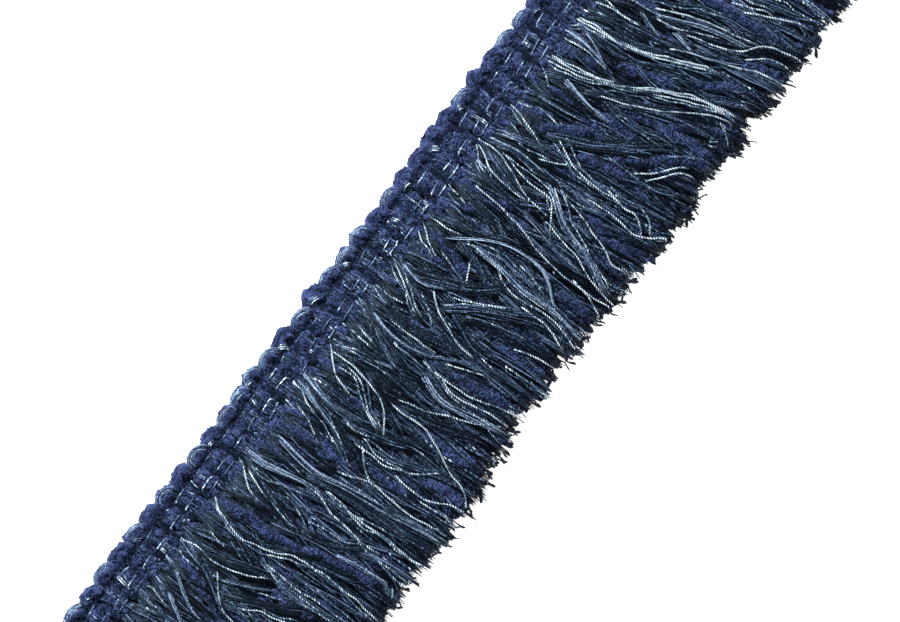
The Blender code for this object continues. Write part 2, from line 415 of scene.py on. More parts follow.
LEVEL_WEAVE = 0.03
LOCK_HALF_HEIGHT = 0.65 * MM
TIER_HALF_HEIGHT = 0.75 * MM


def tier_locks(tier):
    """Centre lines of one tier's locks, from under the heading's foot to their tips."""
    notches = np.repeat(np.arange(LOOP_COUNT + 1), 2)
    side = np.tile([-1.0, 1.0], LOOP_COUNT + 1)
    count = len(notches)
    t = np.array(tier.stations)[None, :]
    root_x = -HALF_LENGTH + notches * LOOP_PITCH + side * rng.uniform(0.1, 1.5, count) * MM
    root_x = inside(root_x, END_MARGIN)
    share = (t - tier.spread_from) / (tier.spread_to - tier.spread_from)
    quick = 1.0 - (1.0 - np.clip(share, 0.0, 1.0)) ** FAN_QUICKNESS
    fan = quick if tier.spread_from == 0.0 else smooth(share)
    reach = (side * (tier.reach + rng.normal(0.0, tier.scatter, count)) * MM)[:, None]
    past = np.clip((t - tier.spread_to) / (1.001 - tier.spread_to), 0, 1)
    drift = rng.normal(0.0, DRIFT, (count, 1)) * past
    drift = drift - DRAWN_BACK * reach * smooth((t - tier.spread_to) / 0.4)
    bow = rng.normal(0.0, BOW, (count, 1)) * np.sin(np.pi * t)
    comb = combed(root_x)[:, None] * t**1.15
    x = root_x[:, None] + (reach * fan + drift + bow + comb) * end_calm(root_x)[:, None]
    y = ROOT_Y + (tip_line(x[:, -1])[:, None] - ROOT_Y) * t
    risen = smooth((t - tier.rise_from) / EASE_SHARE) * smooth((tier.rise_to + EASE_SHARE - t) / EASE_SHARE)
    scatter = rng.normal(0.0, LEVEL_SCATTER, (count, 1))
    weave = LEVEL_WEAVE * np.sin(9.0 * t + rng.uniform(0, 6, (count, 1)))
    level = tier.low + (tier.high - tier.low) * risen + (scatter + weave)
    z = ROOT_Z + (level * surface_z(y) - ROOT_Z) * smooth(t / 0.10)
    return np.stack([x, y, z], axis=2)


def build_tiers():
    bunches = {"back": Bunch(), "front": Bunch(), "top": Bunch()}
    for name, tier in TIERS.items():
        centres = tier_locks(tier)
        count = len(centres)
        t = np.array(tier.stations)
        waist = 0.45 + 0.55 * smooth(t / 0.15) - 0.55 * last_fifth(t)
        width = rng.uniform(0.75, 1.25, (count, 1)) * tier.half_width * MM * waist
        radius = FILLER_RADIUS if name == "filler" else FILAMENT_RADIUS
        tone = tier.tone + rng.normal(0.0, 0.14, count)
        height = np.full(count, TIER_HALF_HEIGHT)
        fill_lock(bunches[tier.piece], centres, width, height, tier.filaments, tone, radius)
    build_floor_yarns(bunches["back"])
    return bunches


def build_floor_yarns(bunch):
    """Thick yarns side by side at the very back. They sway together, so that nothing shows between them."""
    x = spaced(FLOOR_YARNS, FLOOR_RADIUS)
    t = np.array([0.0, 0.25, 0.5, 0.75, 0.93, 1.0])[None, :]
    sway = FLOOR_SWAY * (np.sin(x / (9.0 * MM)) * end_calm(x))[:, None] * np.sin(3.0 * t)
    stop = (tip_line(x) + rng.uniform(0.3, 2.3, FLOOR_YARNS) * MM)[:, None]
    y = ROOT_Y + (stop - ROOT_Y) * t
    line = np.stack([x[:, None] + sway, y, np.full(y.shape, FLOOR_RADIUS)], axis=2)
    sweep(bunch, line, FLOOR_RADIUS, 4, rng.normal(0.0, 0.15, (FLOOR_YARNS, 1)))


# Yarns placed one by one

# level is a yarn's place in the pile, 1 on top, and tone how pale it is. yarns lie side by side over twice
# half_width mm. points are where it shows, (x, y) in mm; it runs on under the others to its root and tip.
Yarn = namedtuple("Yarn", "level tone yarns half_width points")
# A silky or dark lock of filaments. half_width is where it comes into view, end_width where it leaves it.
Lock = namedtuple("Lock", "level tone filaments half_width end_width points")


def single(level, tone, points):
    """One yarn that lies by itself."""
    return Yarn(level, tone, 1, 0.0, points)


def table(kind, columns, rows):
    """Named rows from plain ones, which end in their points as x and y by turns, after so many columns."""
    return [kind(*row[:columns], list(zip(row[columns::2], row[columns + 1::2]))) for row in rows]


LIGHT_YARNS = table(Yarn, 4, [
    (0.8, 0.8, 1, 0.0, -116.8, 22.9, -115.8, 22.2, -116.1, 19.8, -117.3, 15.2),
    (0.7, 0.6, 1, 0.0, -100.4, 20.7, -101.6, 16.4, -102.3, 12.0, -103.5, 9.6),
    (0.9, 0.9, 1, 0.0, -102.1, 7.7, -105.7, 4.8, -108.1, 1.9, -109.1, -0.5, -109.5, -3.2),
    (0.9, 0.9, 1, 0.0, -98.7, 21.2, -97.7, 18.8, -98.7, 14.4, -98.4, 9.6, -97.2, 4.3, -93.6, -2.7),
    (0.6, 0.3, 1, 0.0, -97.2, 16.4, -96.7, 12.5, -95.5, 5.7),
    (0.6, 0.5, 1, 0.0, -102.1, 8.6, -101.3, 3.8),
    (0.8, 0.8, 1, 0.0, -98.0, -5.4, -96.3, -9.7),
    (0.8, 0.9, 2, 0.4, -104.5, -1.0, -105.7, -4.9, -106.2, -8.7),
    (0.9, 0.9, 2, 0.4, -104.0, -2.7, -101.8, -7.3, -101.1, -11.6, -99.2, -17.0),
    (1.4, 1.1, 2, 0.22, -84.7, 22.9, -86.8, 18.3, -88.3, 14.0, -89.0, 9.1, -88.5, 4.8, -86.8, -1.0,
     -84.4, -5.8, -83.2, -11.6, -83.0, -18.9, -83.5, -26.1, -84.7, -35.3),
    (0.8, 0.45, 1, 0.0, -87.8, -0.5, -87.8, -6.8, -88.1, -16.5, -88.1, -26.1, -88.5, -31.4),
    (0.9, 0.7, 1, 0.0, -90.5, -2.0, -92.6, -7.3, -93.8, -13.1, -93.1, -17.9, -92.2, -26.1),
    (0.9, 0.7, 1, 0.0, -90.5, -3.4, -91.0, -11.6, -90.5, -18.9, -90.5, -28.5),
    (0.8, 0.7, 1, 0.0, -91.9, -7.3, -92.2, -14.1, -92.4, -25.2),
    (0.7, 0.6, 1, 0.0, -91.7, 9.6, -93.1, 6.2),
    (0.6, 0.6, 1, 0.0, -92.6, 17.3, -93.4, 12.5),
    (0.8, 0.9, 1, 0.0, -72.8, 20.2, -75.5, 16.9, -76.9, 13.0),
    (0.9, 0.9, 1, 0.0, -72.1, 18.8, -73.8, 14.4, -75.2, 7.7, -76.2, 3.3, -76.7, -0.5),
    (0.9, 0.5, 1, 0.0, -70.4, 19.3, -71.1, 15.9, -70.1, 11.5, -68.7, 7.7, -67.0, 1.4),
    (1.3, 1.0, 1, 0.0, -64.9, 0.5, -65.1, -1.0, -67.0, -5.8, -67.7, -11.6, -68.7, -18.9, -68.7, -22.3),
    (0.9, 0.9, 2, 0.4, -71.1, 6.2, -70.9, 3.3, -72.8, -1.0, -75.7, -6.3),
    (0.9, 0.9, 2, 0.4, -72.1, -3.9, -71.8, -9.2, -70.9, -15.5, -69.4, -18.4),
    (0.8, 0.8, 1, 0.0, -69.4, -18.9, -70.1, -26.1, -69.9, -33.4, -70.1, -37.6),
    (0.7, 0.7, 1, 0.0, -70.6, -26.1, -71.6, -33.4, -71.8, -37.0),
    (1.4, 1.1, 2, 0.22, -63.1, -4.4, -63.6, -10.7, -64.4, -16.5, -63.6, -22.8, -64.1, -29.0, -63.9, -37.7),
    (0.8, 0.6, 1, 0.0, -63.1, -15.5, -61.7, -22.8, -61.0, -28.5),
    (0.8, 0.7, 1, 0.0, -63.1, 10.6, -63.6, 7.7),
    (0.8, 0.7, 1, 0.0, -60.7, 11.5, -61.0, 3.3),
    (0.8, 0.6, 1, 0.0, -57.3, -4.9, -56.9, -10.7, -56.6, -16.5),
    (1.0, 0.9, 1, 0.0, -55.9, -3.4, -54.0, -8.7, -53.2, -11.6, -54.0, -18.9, -54.0, -26.1, -53.0, -33.4),
    (0.7, 0.9, 1, 0.0, -49.6, 22.7, -49.9, 20.7),
    (0.8, 0.8, 1, 0.0, -48.7, 18.3, -49.6, 14.4, -51.3, 12.0),
    (1.0, 0.85, 2, 0.5, -43.8, 20.2, -45.8, 14.4, -47.0, 9.6, -49.1, 4.8, -51.6, 0.9, -52.8, -1.5),
    (1.1, 0.9, 2, 0.5, -40.4, 21.2, -41.9, 15.4, -42.6, 10.1, -41.9, 4.8, -41.2, 0.0, -39.0, -8.3),
    (0.9, 0.8, 1, 0.0, -43.8, 4.8, -43.6, -0.5, -41.9, -3.9),
    (0.9, 0.9, 1, 0.0, -47.2, -1.5, -47.0, -7.3, -47.2, -11.2, -45.8, -14.5),
    (0.8, 0.8, 1, 0.0, -47.7, -3.9, -51.1, -6.8, -52.8, -9.7),
    (1.0, 1.0, 2, 0.4, -44.3, -2.9, -45.3, -8.7, -44.3, -14.5, -42.9, -19.4, -39.7, -23.7),
    (0.9, 0.9, 1, 0.0, -47.7, -17.9, -48.2, -22.8, -47.4, -27.6, -45.5, -31.4),
    (0.7, 0.8, 1, 0.0, -49.1, -28.0, -48.7, -34.0),
    (0.9, 1.0, 1, 0.0, -29.3, 22.2, -32.7, 18.8, -35.1, 15.4, -36.3, 11.5),
    (0.9, 0.9, 3, 0.6, -31.0, 15.9, -30.5, 12.5, -32.7, 7.7, -36.1, 3.8, -38.5, 0.0, -38.8, -1.5),
    (1.0, 1.0, 1, 0.0, -29.8, 19.8, -29.8, 12.5, -31.3, 5.3, -33.7, -0.5, -38.3, -3.9),
    (1.1, 1.0, 2, 0.4, -27.4, 23.1, -26.2, 17.3, -25.2, 11.5, -24.5, 4.3),
    (1.1, 1.0, 1, 0.0, -31.7, -4.4, -31.7, -9.7, -31.3, -14.1, -32.7, -17.4, -35.1, -22.8, -38.0, -29.0,
     -39.0, -33.9, -42.4, -37.0),
    (0.7, 0.5, 1, 0.0, -29.8, -10.7, -30.5, -16.5, -29.8, -21.3),
    (0.9, 0.9, 1, 0.0, -28.8, -4.4, -26.9, -11.6, -24.0, -17.9, -20.6, -26.1, -19.2, -28.1),
    (0.6, 0.4, 1, 0.0, -38.0, -16.0, -38.3, -25.2),
    (0.8, 0.9, 1, 0.0, -21.8, 19.5, -22.1, 14.0),
    (0.8, 0.9, 1, 0.0, -19.9, 17.8, -20.8, 13.7),
    (0.8, 0.8, 1, 0.0, -13.8, 23.1, -15.5, 19.3, -16.5, 16.9),
    (0.8, 0.6, 3, 0.7, -16.3, 15.4, -19.6, 10.6, -21.8, 4.3),
    (0.9, 0.9, 1, 0.0, -12.4, 17.8, -12.4, 10.6, -12.6, 4.8, -12.4, 0.0),
    (0.9, 1.0, 2, 0.3, -17.7, 8.2, -19.2, 1.4, -19.4, -2.0, -18.4, -6.8),
    (0.8, 0.8, 1, 0.0, -17.2, 7.7, -17.5, -1.0),
    (0.9, 0.7, 1, 0.0, -16.7, -3.4, -18.2, -9.2, -19.6, -14.1, -19.9, -20.3, -19.2, -27.6),
    (1.1, 1.0, 1, 0.0, -17.0, -9.7, -18.7, -14.1, -18.4, -17.9, -17.2, -22.3, -16.5, -30.0),
    (1.1, 1.0, 1, 0.0, -16.5, -7.3, -16.5, -16.5, -15.0, -23.2, -13.1, -28.5, -12.4, -32.4),
    (0.8, 0.7, 1, 0.0, -31.7, -5.8, -31.2, -11.6, -32.2, -16.5),
    (0.9, 0.9, 2, 0.4, -7.1, 23.6, -8.3, 19.3, -8.3, 15.4, -7.3, 12.5),
    (1.0, 0.9, 3, 0.6, 1.6, 22.2, -0.6, 18.8, -3.2, 14.0, -6.1, 10.1),
    (0.8, 0.8, 1, 0.0, -1.3, 14.4, -4.2, 11.1, -5.9, 7.7),
    (0.8, 0.8, 1, 0.0, -1.3, 10.1, -3.2, 6.7, -5.1, 4.3),
    (1.0, 1.0, 1, 0.0, 0.2, 6.7, -2.7, 3.3, -4.4, -2.0, -6.6, -6.8, -6.8, -10.7),
    (1.0, 0.9, 2, 0.5, 0.7, 1.9, 3.5, -2.0, 6.9, -6.8),
    (1.0, 1.0, 1, 0.0, 4.5, 0.4, 6.4, -3.9, 9.8, -10.2),
    (0.8, 0.6, 1, 0.0, 2.1, -4.9, 4.5, -11.2, 6.4, -20.3),
    (0.9, 0.8, 2, 0.4, 6.0, -7.3, 9.3, -12.6, 11.5, -18.9),
    (0.9, 1.0, 1, 0.0, 2.8, -22.3, 4.3, -27.6, 4.8, -30.5),
    (0.8, 0.8, 1, 0.0, -3.0, -23.2, -2.7, -33.9),
    (0.9, 0.9, 1, 0.0, -5.4, -15.5, -5.9, -18.4),
    (0.9, 0.9, 1, 0.0, -12.4, -8.3, -10.7, -12.6, -9.3, -17.0),
    (0.9, 1.0, 2, 0.4, 14.7, 22.9, 12.2, 20.2, 10.6, 16.4),
    (0.8, 0.7, 1, 0.0, 11.8, 12.5, 10.3, 7.7, 9.3, 3.8),
    (1.1, 0.8, 1, 0.0, 19.0, 31.8, 18.8, 27.0, 18.5, 22.2, 18.3, 17.3, 19.0, 14.0),
    (1.1, 1.0, 2, 0.3, 19.0, 8.6, 20.9, 3.8, 21.4, -2.0, 21.2, -7.8, 19.5, -14.1, 19.0, -21.3, 17.8, -33.9),
    (1.0, 0.9, 1, 0.0, 19.0, 5.8, 18.5, -2.0, 17.6, -6.8, 16.6, -14.1, 17.3, -20.3, 17.6, -26.1,
     16.6, -32.4),
    (1.0, 0.9, 1, 0.0, 17.8, -2.9, 15.1, -7.3, 14.9, -12.6, 15.6, -18.9, 16.1, -23.7, 13.7, -32.4),
    (0.9, 1.0, 1, 0.0, 13.5, -16.5, 13.5, -21.3, 13.0, -26.1, 11.5, -29.5),
    (0.9, 0.8, 1, 0.0, 22.4, -8.7, 22.1, -12.1, 20.5, -16.0),
    (0.9, 0.9, 2, 0.3, 17.1, 7.2, 14.7, 1.9, 12.2, -2.5),
    (0.8, 1.0, 1, 0.0, 12.5, 3.8, 10.8, 2.9),
    (0.8, 0.8, 2, 0.5, 29.6, 13.0, 27.7, 9.1, 25.8, 5.3),
    (0.8, 0.8, 2, 0.3, 28.7, 5.8, 26.7, 1.9),
    (1.1, 1.0, 1, 0.0, 32.8, 15.4, 32.3, 7.7, 31.1, -1.0, 29.2, -7.3, 27.9, -13.1, 27.5, -21.3,
     27.7, -27.6, 28.4, -33.4),
    (1.0, 0.9, 1, 0.0, 27.7, -26.0, 27.0, -29.0, 25.0, -33.9),
    (0.8, 0.6, 2, 0.5, 34.5, -7.3, 32.5, -11.6, 31.6, -16.5, 31.8, -20.8),
    (1.1, 1.0, 1, 0.0, 36.9, -6.8, 35.5, -13.1, 34.3, -19.4, 31.6, -25.6, 30.1, -33.9),
    (0.6, 0.4, 1, 0.0, 24.8, 20.7, 24.3, 14.4),
    (0.8, 0.9, 2, 0.3, 27.7, 21.2, 26.7, 17.3),
    (0.9, 0.9, 3, 0.7, 42.0, 24.4, 39.3, 21.7, 38.1, 18.3),
    (0.9, 0.85, 1, 0.0, 42.2, 21.0, 39.8, 17.3, 38.8, 12.5, 38.4, 8.6, 38.8, 3.3),
    (1.0, 0.9, 1, 0.0, 44.9, 22.2, 44.9, 18.3, 43.2, 12.5, 40.3, 5.8, 39.1, 0.4, 38.8, -3.4),
    (1.0, 1.0, 1, 0.0, 45.1, 14.4, 43.7, 8.6, 42.9, 2.9, 43.7, -2.0, 38.8, -5.8),
    (0.9, 0.75, 1, 0.0, 45.6, 13.0, 45.6, 6.7, 45.4, -0.5),
    (1.0, 0.9, 2, 0.3, 46.6, 21.2, 47.5, 16.4, 47.3, 11.5, 47.1, 6.2),
    (0.9, 0.75, 1, 0.0, 47.5, 20.0, 48.7, 14.4, 48.5, 9.6, 48.3, 5.8),
    (1.0, 1.0, 2, 0.3, 48.5, 24.1, 50.4, 19.8, 50.9, 14.9, 51.9, 8.6, 52.4, 5.8),
    (0.9, 0.9, 1, 0.0, 50.9, 5.8, 52.4, 1.9, 53.8, -0.5),
    (0.8, 0.8, 2, 0.5, 56.2, 21.7, 54.3, 17.3, 53.3, 14.4),
    (0.9, 0.9, 1, 0.0, 57.9, 22.2, 56.5, 16.9, 55.0, 12.5, 53.6, 9.1),
    (1.0, 0.85, 4, 0.9, 44.6, -2.9, 39.3, -10.7, 37.9, -15.5, 37.4, -18.4, 35.0, -23.7, 32.6, -29.0),
    (1.1, 0.9, 1, 0.0, 45.6, -8.7, 44.2, -14.1, 42.2, -20.3, 40.8, -24.7, 38.8, -27.6, 39.3, -30.5),
    (0.9, 0.8, 2, 0.4, 47.1, -3.4, 46.1, -8.7, 47.5, -12.6, 49.0, -17.9),
    (1.1, 1.0, 1, 0.0, 50.0, -13.6, 50.4, -17.9, 50.0, -23.2, 49.7, -28.1, 51.4, -31.9, 53.8, -34.8),
    (1.1, 1.0, 3, 0.7, 57.9, 4.8, 55.7, 0.0, 54.1, -5.4, 54.1, -11.6, 54.5, -17.0),
    (1.0, 1.0, 2, 0.5, 55.8, -15.5, 54.8, -20.3, 56.2, -23.7, 54.3, -28.1, 52.6, -29.5),
    (0.7, 0.8, 1, 0.0, 60.3, 21.7, 60.8, 18.8),
    (0.7, 0.7, 1, 0.0, 62.3, 14.4, 61.8, 10.1),
    (0.8, 0.6, 2, 0.5, 60.1, 1.4, 62.5, -2.5, 64.9, -7.3, 67.8, -10.2),
    (0.7, 0.6, 1, 0.0, 73.1, 23.6, 71.7, 21.2, 70.5, 19.8),
    (1.15, 1.1, 4, 0.55, 75.5, 24.6, 75.8, 18.8, 76.9, 12.5, 78.7, 7.7, 80.9, 1.4, 84.3, -4.4, 87.4, -11.0,
     92.0, -21.3, 93.9, -29.0),
    (1.1, 1.0, 1, 0.0, 75.8, 3.8, 77.5, -1.0, 80.4, -7.5, 83.3, -13.0, 86.7, -18.2, 90.1, -23.2,
     92.0, -28.1),
    (0.9, 0.9, 2, 0.4, 74.3, -5.4, 74.6, -10.7, 75.6, -16.5, 76.0, -22.8),
    (0.9, 0.9, 1, 0.0, 65.4, -19.4, 68.3, -22.8, 71.2, -24.7, 72.7, -26.1),
    (0.9, 0.9, 1, 0.0, 66.4, -23.2, 68.8, -25.2, 71.7, -26.6, 72.9, -30.5),
    (0.7, 0.5, 1, 0.0, 63.0, -9.7, 63.0, -18.9, 63.5, -25.7, 65.4, -29.5),
    (0.8, 0.7, 1, 0.0, 74.8, -23.2, 77.5, -27.6),
    (0.9, 1.0, 2, 0.4, 86.2, 24.0, 87.4, 22.4, 88.1, 21.0),
    (1.15, 1.1, 3, 0.42, 89.6, 24.1, 90.1, 18.3, 90.6, 11.5, 91.8, 5.3, 93.5, 0.0, 95.4, -4.9, 98.3, -11.2,
     100.7, -17.0),
    (0.7, 0.9, 1, 0.0, 83.3, 20.2, 83.6, 16.4, 83.1, 10.1),
    (0.7, 0.5, 1, 0.0, 94.7, 19.3, 95.9, 12.5, 96.4, 5.8, 97.8, 0.4),
    (0.9, 0.9, 1, 0.0, 96.4, 22.7, 97.6, 17.3, 98.0, 14.4, 98.3, 8.6),
    (0.8, 0.9, 1, 0.0, 98.8, 18.8, 98.3, 14.9),
    (1.0, 0.8, 1, 0.0, 103.4, 3.3, 104.3, -2.0, 106.5, -5.8, 108.9, -11.6),
    (1.1, 0.9, 1, 0.0, 105.1, -6.3, 107.0, -12.6, 108.9, -17.9, 111.3, -21.3, 114.7, -23.2, 116.6, -26.1,
     118.3, -31.4),
    (1.0, 0.9, 1, 0.0, 106.5, 4.3, 108.9, -1.5, 110.9, -6.8, 112.3, -13.1, 114.5, -21.3),
    (1.0, 1.0, 2, 0.4, 108.9, 6.2, 111.3, 0.4, 113.3, -3.4, 115.2, -8.7),
    (1.0, 0.9, 1, 0.0, 99.3, -4.9, 101.7, -10.7, 103.6, -16.0, 105.5, -21.3, 108.0, -26.1, 109.9, -32.4),
    (1.0, 1.0, 1, 0.0, 121.0, -15.5, 122.9, -19.4, 124.9, -23.2, 127.3, -29.0),
    (0.9, 1.0, 2, 0.4, 121.7, -11.2, 123.4, -15.5, 124.4, -18.9),
    (0.9, 0.9, 1, 0.0, 111.3, -24.7, 114.2, -28.5, 115.2, -32.9),
    (0.8, 0.5, 2, 0.8, 94.4, -9.7, 98.8, -16.5, 101.7, -19.8),
    (0.8, 0.5, 2, 0.5, 78.0, 1.4, 80.9, -3.4, 84.3, -10.7),
])

# Silky locks of pale filaments
PALE_LOCKS = table(Lock, 5, [
    (0.9, 0.80, 16, 0.9, 0.6, -115.1, 14.7, -116.8, 11.5, -118.7, 8.6),
    (0.9, 0.85, 16, 0.8, 0.5, -108.6, 17.3, -111.5, 12.5, -113.9, 8.6, -114.4, 5.7),
    (0.9, 0.75, 12, 0.6, 0.4, -100.4, 4.3, -98.4, -0.5, -96.7, -3.9),
    (0.7, 0.28, 14, 1.2, 0.8, -90.5, -1.0, -91.8, -8.0, -92.4, -16.0, -91.6, -26.0),
    (1.0, 0.55, 26, 1.3, 0.6, -68.4, 22.4, -68.2, 17.3, -67.0, 12.5, -65.3, 5.8, -64.6, 1.4, -65.1, -1.0),
    (0.95, 0.34, 22, 0.7, 1.0, -59.3, 15.4, -60.2, 10.1, -60.7, 2.9, -58.8, -4.4, -57.8, -11.6,
     -57.3, -18.9, -55.9, -27.1, -54.9, -32.4),
    (0.8, 0.28, 18, 1.4, 1.6, -62.0, 4.0, -60.5, -6.0, -60.0, -16.0, -58.5, -34.0),
    (0.9, 0.38, 16, 0.9, 0.7, -43.2, 21.0, -45.2, 14.4, -46.4, 9.6, -48.5, 4.8),
    (0.9, 0.42, 16, 0.9, 0.7, -40.0, 21.6, -41.3, 15.4, -41.8, 10.1, -40.9, 3.0),
    (1.05, 0.80, 20, 0.5, 0.4, -14.3, 17.3, -15.8, 12.5, -16.0, 5.3, -14.3, -2.0, -10.9, -7.8, -9.3, -12.1,
     -8.8, -15.5),
    (0.9, 0.45, 18, 0.9, 0.8, -16.3, 15.4, -19.6, 10.6, -21.8, 4.3),
    (0.9, 0.35, 18, 1.0, 1.1, -20.5, -6.0, -22.6, -12.0, -21.6, -20.0, -19.8, -29.0),
    (1.0, 0.75, 16, 0.5, 0.4, 2.1, 18.8, 1.1, 14.4, 2.1, 10.1, 3.8, 6.7),
    (1.05, 0.70, 20, 0.4, 0.5, 18.3, 11.5, 21.9, 6.2, 24.3, 1.4, 25.8, -3.9, 25.8, -9.2, 25.3, -14.1,
     20.5, -20.3),
    (0.9, 0.30, 20, 0.9, 1.3, 19.2, 5.0, 18.8, -4.0, 17.6, -12.0, 17.8, -24.0, 15.6, -33.0),
    (0.8, 0.40, 16, 1.0, 0.8, 35.5, -0.5, 34.5, -6.8, 32.6, -14.1, 32.1, -21.3),
    (0.9, 0.36, 16, 0.9, 0.8, 46.8, 21.0, 47.9, 14.0, 47.8, 6.0),
    (0.9, 0.45, 18, 1.0, 1.0, 43.9, -3.5, 39.6, -10.0, 37.8, -15.5, 35.6, -22.5, 32.4, -30.0),
    (0.9, 0.75, 12, 0.4, 0.3, 65.2, 17.8, 65.4, 14.0, 65.9, 10.1, 66.6, 5.8),
    (0.9, 0.75, 18, 0.7, 0.5, 72.9, 13.5, 71.7, 8.2, 71.2, 3.3, 71.2, -0.5),
    (0.9, 0.32, 18, 1.1, 1.0, 76.0, 22.0, 77.4, 12.0, 81.4, 1.0, 86.0, -9.0),
    (0.9, 0.60, 24, 1.6, 0.4, 85.7, 21.7, 85.2, 16.4, 83.8, 9.6),
    (0.8, 0.55, 14, 0.9, 0.4, 87.7, 17.3, 85.2, 11.5, 83.3, 8.6),
    (0.8, 0.45, 14, 0.7, 0.6, 101.7, 9.6, 100.2, 5.8, 99.3, 1.4),
    (1.0, 0.85, 14, 0.3, 0.4, 103.1, 14.0, 103.6, 9.6, 104.3, 4.8),
    (1.05, 0.95, 22, 0.5, 0.8, 104.6, 4.3, 106.5, -0.5, 108.9, -5.8, 110.9, -11.6, 112.3, -20.3),
    (0.8, 0.50, 14, 0.7, 0.5, 103.1, -3.4, 102.2, -6.8, 101.7, -9.7),
    (0.8, 0.75, 14, 0.5, 0.7, 134.0, -27.1, 133.6, -34.8),
    (0.7, 0.40, 12, 0.6, 0.6, -76.0, -17.0, -74.8, -23.0, -74.4, -28.5),
])

# Locks of dark filaments that cross over the pile
DARK_LOCKS = table(Lock, 5, [
    (0.95, 0.15, 24, 1.3, 1.3, -27.9, 22.2, -30.0, 17.5, -32.2, 12.5),
    (0.95, 0.10, 24, 1.2, 1.5, -27.4, 21.2, -24.6, 12.0, -22.5, 2.9),
    (0.95, 0.18, 28, 1.4, 1.6, -13.4, 22.2, -17.6, 12.0, -22.1, 1.4),
    (0.95, 0.10, 26, 1.2, 1.6, -11.9, 21.2, -10.9, 6.0, -8.1, -9.2),
    (0.95, 0.14, 28, 1.4, 1.6, 1.6, 21.2, -3.6, 6.0, -6.6, -10.7),
    (1.0, 0.12, 44, 1.6, 2.4, 1.6, 18.8, 4.8, 9.0, 8.6, 0.5, 15.1, -7.3),
    (1.0, 0.16, 44, 1.5, 2.4, 0.6, 1.4, 5.0, -5.0, 9.0, -12.5, 12.7, -20.3),
    (0.9, 0.12, 26, 1.2, 1.6, 1.1, -3.4, 4.0, -16.0, 6.4, -31.0),
    (0.9, 0.30, 26, 1.2, 1.8, -0.3, -1.0, -3.6, -9.0, -3.2, -18.9),
    (0.95, 0.25, 30, 1.3, 1.8, -16.7, -4.4, -20.6, -13.0, -20.1, -26.0),
    (0.95, 0.12, 26, 1.2, 1.4, 18.0, 10.6, 15.6, 3.0, 11.8, -3.9),
    (0.9, 0.12, 24, 1.2, 1.4, 19.0, 21.2, 21.6, 11.0, 25.8, 0.0),
    (0.9, 0.14, 24, 1.2, 1.4, 30.1, 14.0, 28.4, 9.0, 25.8, 3.8),
    (0.95, 0.12, 34, 1.5, 2.2, 58.4, 8.0, 62.0, 0.0, 66.0, -8.0, 70.5, -16.0),
    (0.95, 0.14, 34, 1.4, 2.0, 58.6, 4.0, 66.0, -6.5, 73.0, -16.0, 77.0, -22.0),
    (0.9, 0.14, 26, 1.2, 1.6, 74.5, 8.0, 79.5, -4.0, 86.0, -17.0),
    (0.9, 0.12, 28, 1.3, 1.8, 76.6, -2.0, 82.0, -14.0, 86.0, -27.0),
    (0.9, 0.14, 28, 1.3, 1.8, 90.5, 20.0, 93.0, 6.0, 98.0, -6.0),
    (0.9, 0.12, 28, 1.3, 1.8, 97.5, 10.0, 99.5, -2.0, 104.0, -14.0, 107.5, -22.0),
    (0.9, 0.14, 28, 1.3, 1.6, 104.0, 2.0, 107.0, -10.0, 112.0, -23.0),
    (0.9, 0.30, 28, 1.3, 1.6, 44.0, 20.0, 41.0, 12.0, 39.3, 2.0),
    (0.9, 0.14, 26, 1.2, 1.5, 49.5, 22.0, 52.0, 12.0, 53.4, 2.0),
    (0.9, 0.14, 26, 1.2, 1.5, 57.5, 21.0, 54.6, 13.0, 52.5, 5.0),
    (0.9, 0.20, 26, 1.2, 1.6, -85.0, 22.0, -88.0, 12.0, -91.5, 2.0),
    (0.9, 0.12, 28, 1.3, 1.8, -84.6, -2.0, -81.0, -12.0, -78.6, -24.0),
    (0.9, 0.08, 30, 1.4, 1.8, -70.5, 21.0, -75.0, 8.0, -78.5, -6.0),
    (0.9, 0.10, 28, 1.3, 1.6, -76.5, -4.0, -74.5, -13.0, -71.0, -20.0),
    (0.9, 0.10, 28, 1.2, 1.6, -43.0, 19.0, -46.5, 6.0, -51.0, -5.0),
    (0.9, 0.12, 28, 1.2, 1.6, -42.6, 6.0, -42.0, -4.0, -38.6, -12.0),
    (0.9, 0.12, 28, 1.3, 1.6, -29.0, 8.0, -32.5, 0.0, -36.6, -8.0),
    (0.9, 0.14, 28, 1.3, 1.7, -30.6, -6.0, -28.6, -16.0, -25.0, -28.0),
    (0.9, 0.12, 26, 1.2, 1.5, -99.0, 20.0, -103.5, 10.0, -108.0, 2.0),
    (0.9, 0.12, 26, 1.2, 1.5, -98.4, 17.0, -95.0, 5.0, -92.5, -4.0),
    (0.9, 0.12, 26, 1.2, 1.6, -103.6, 2.0, -100.0, -8.0, -96.0, -16.0),
])

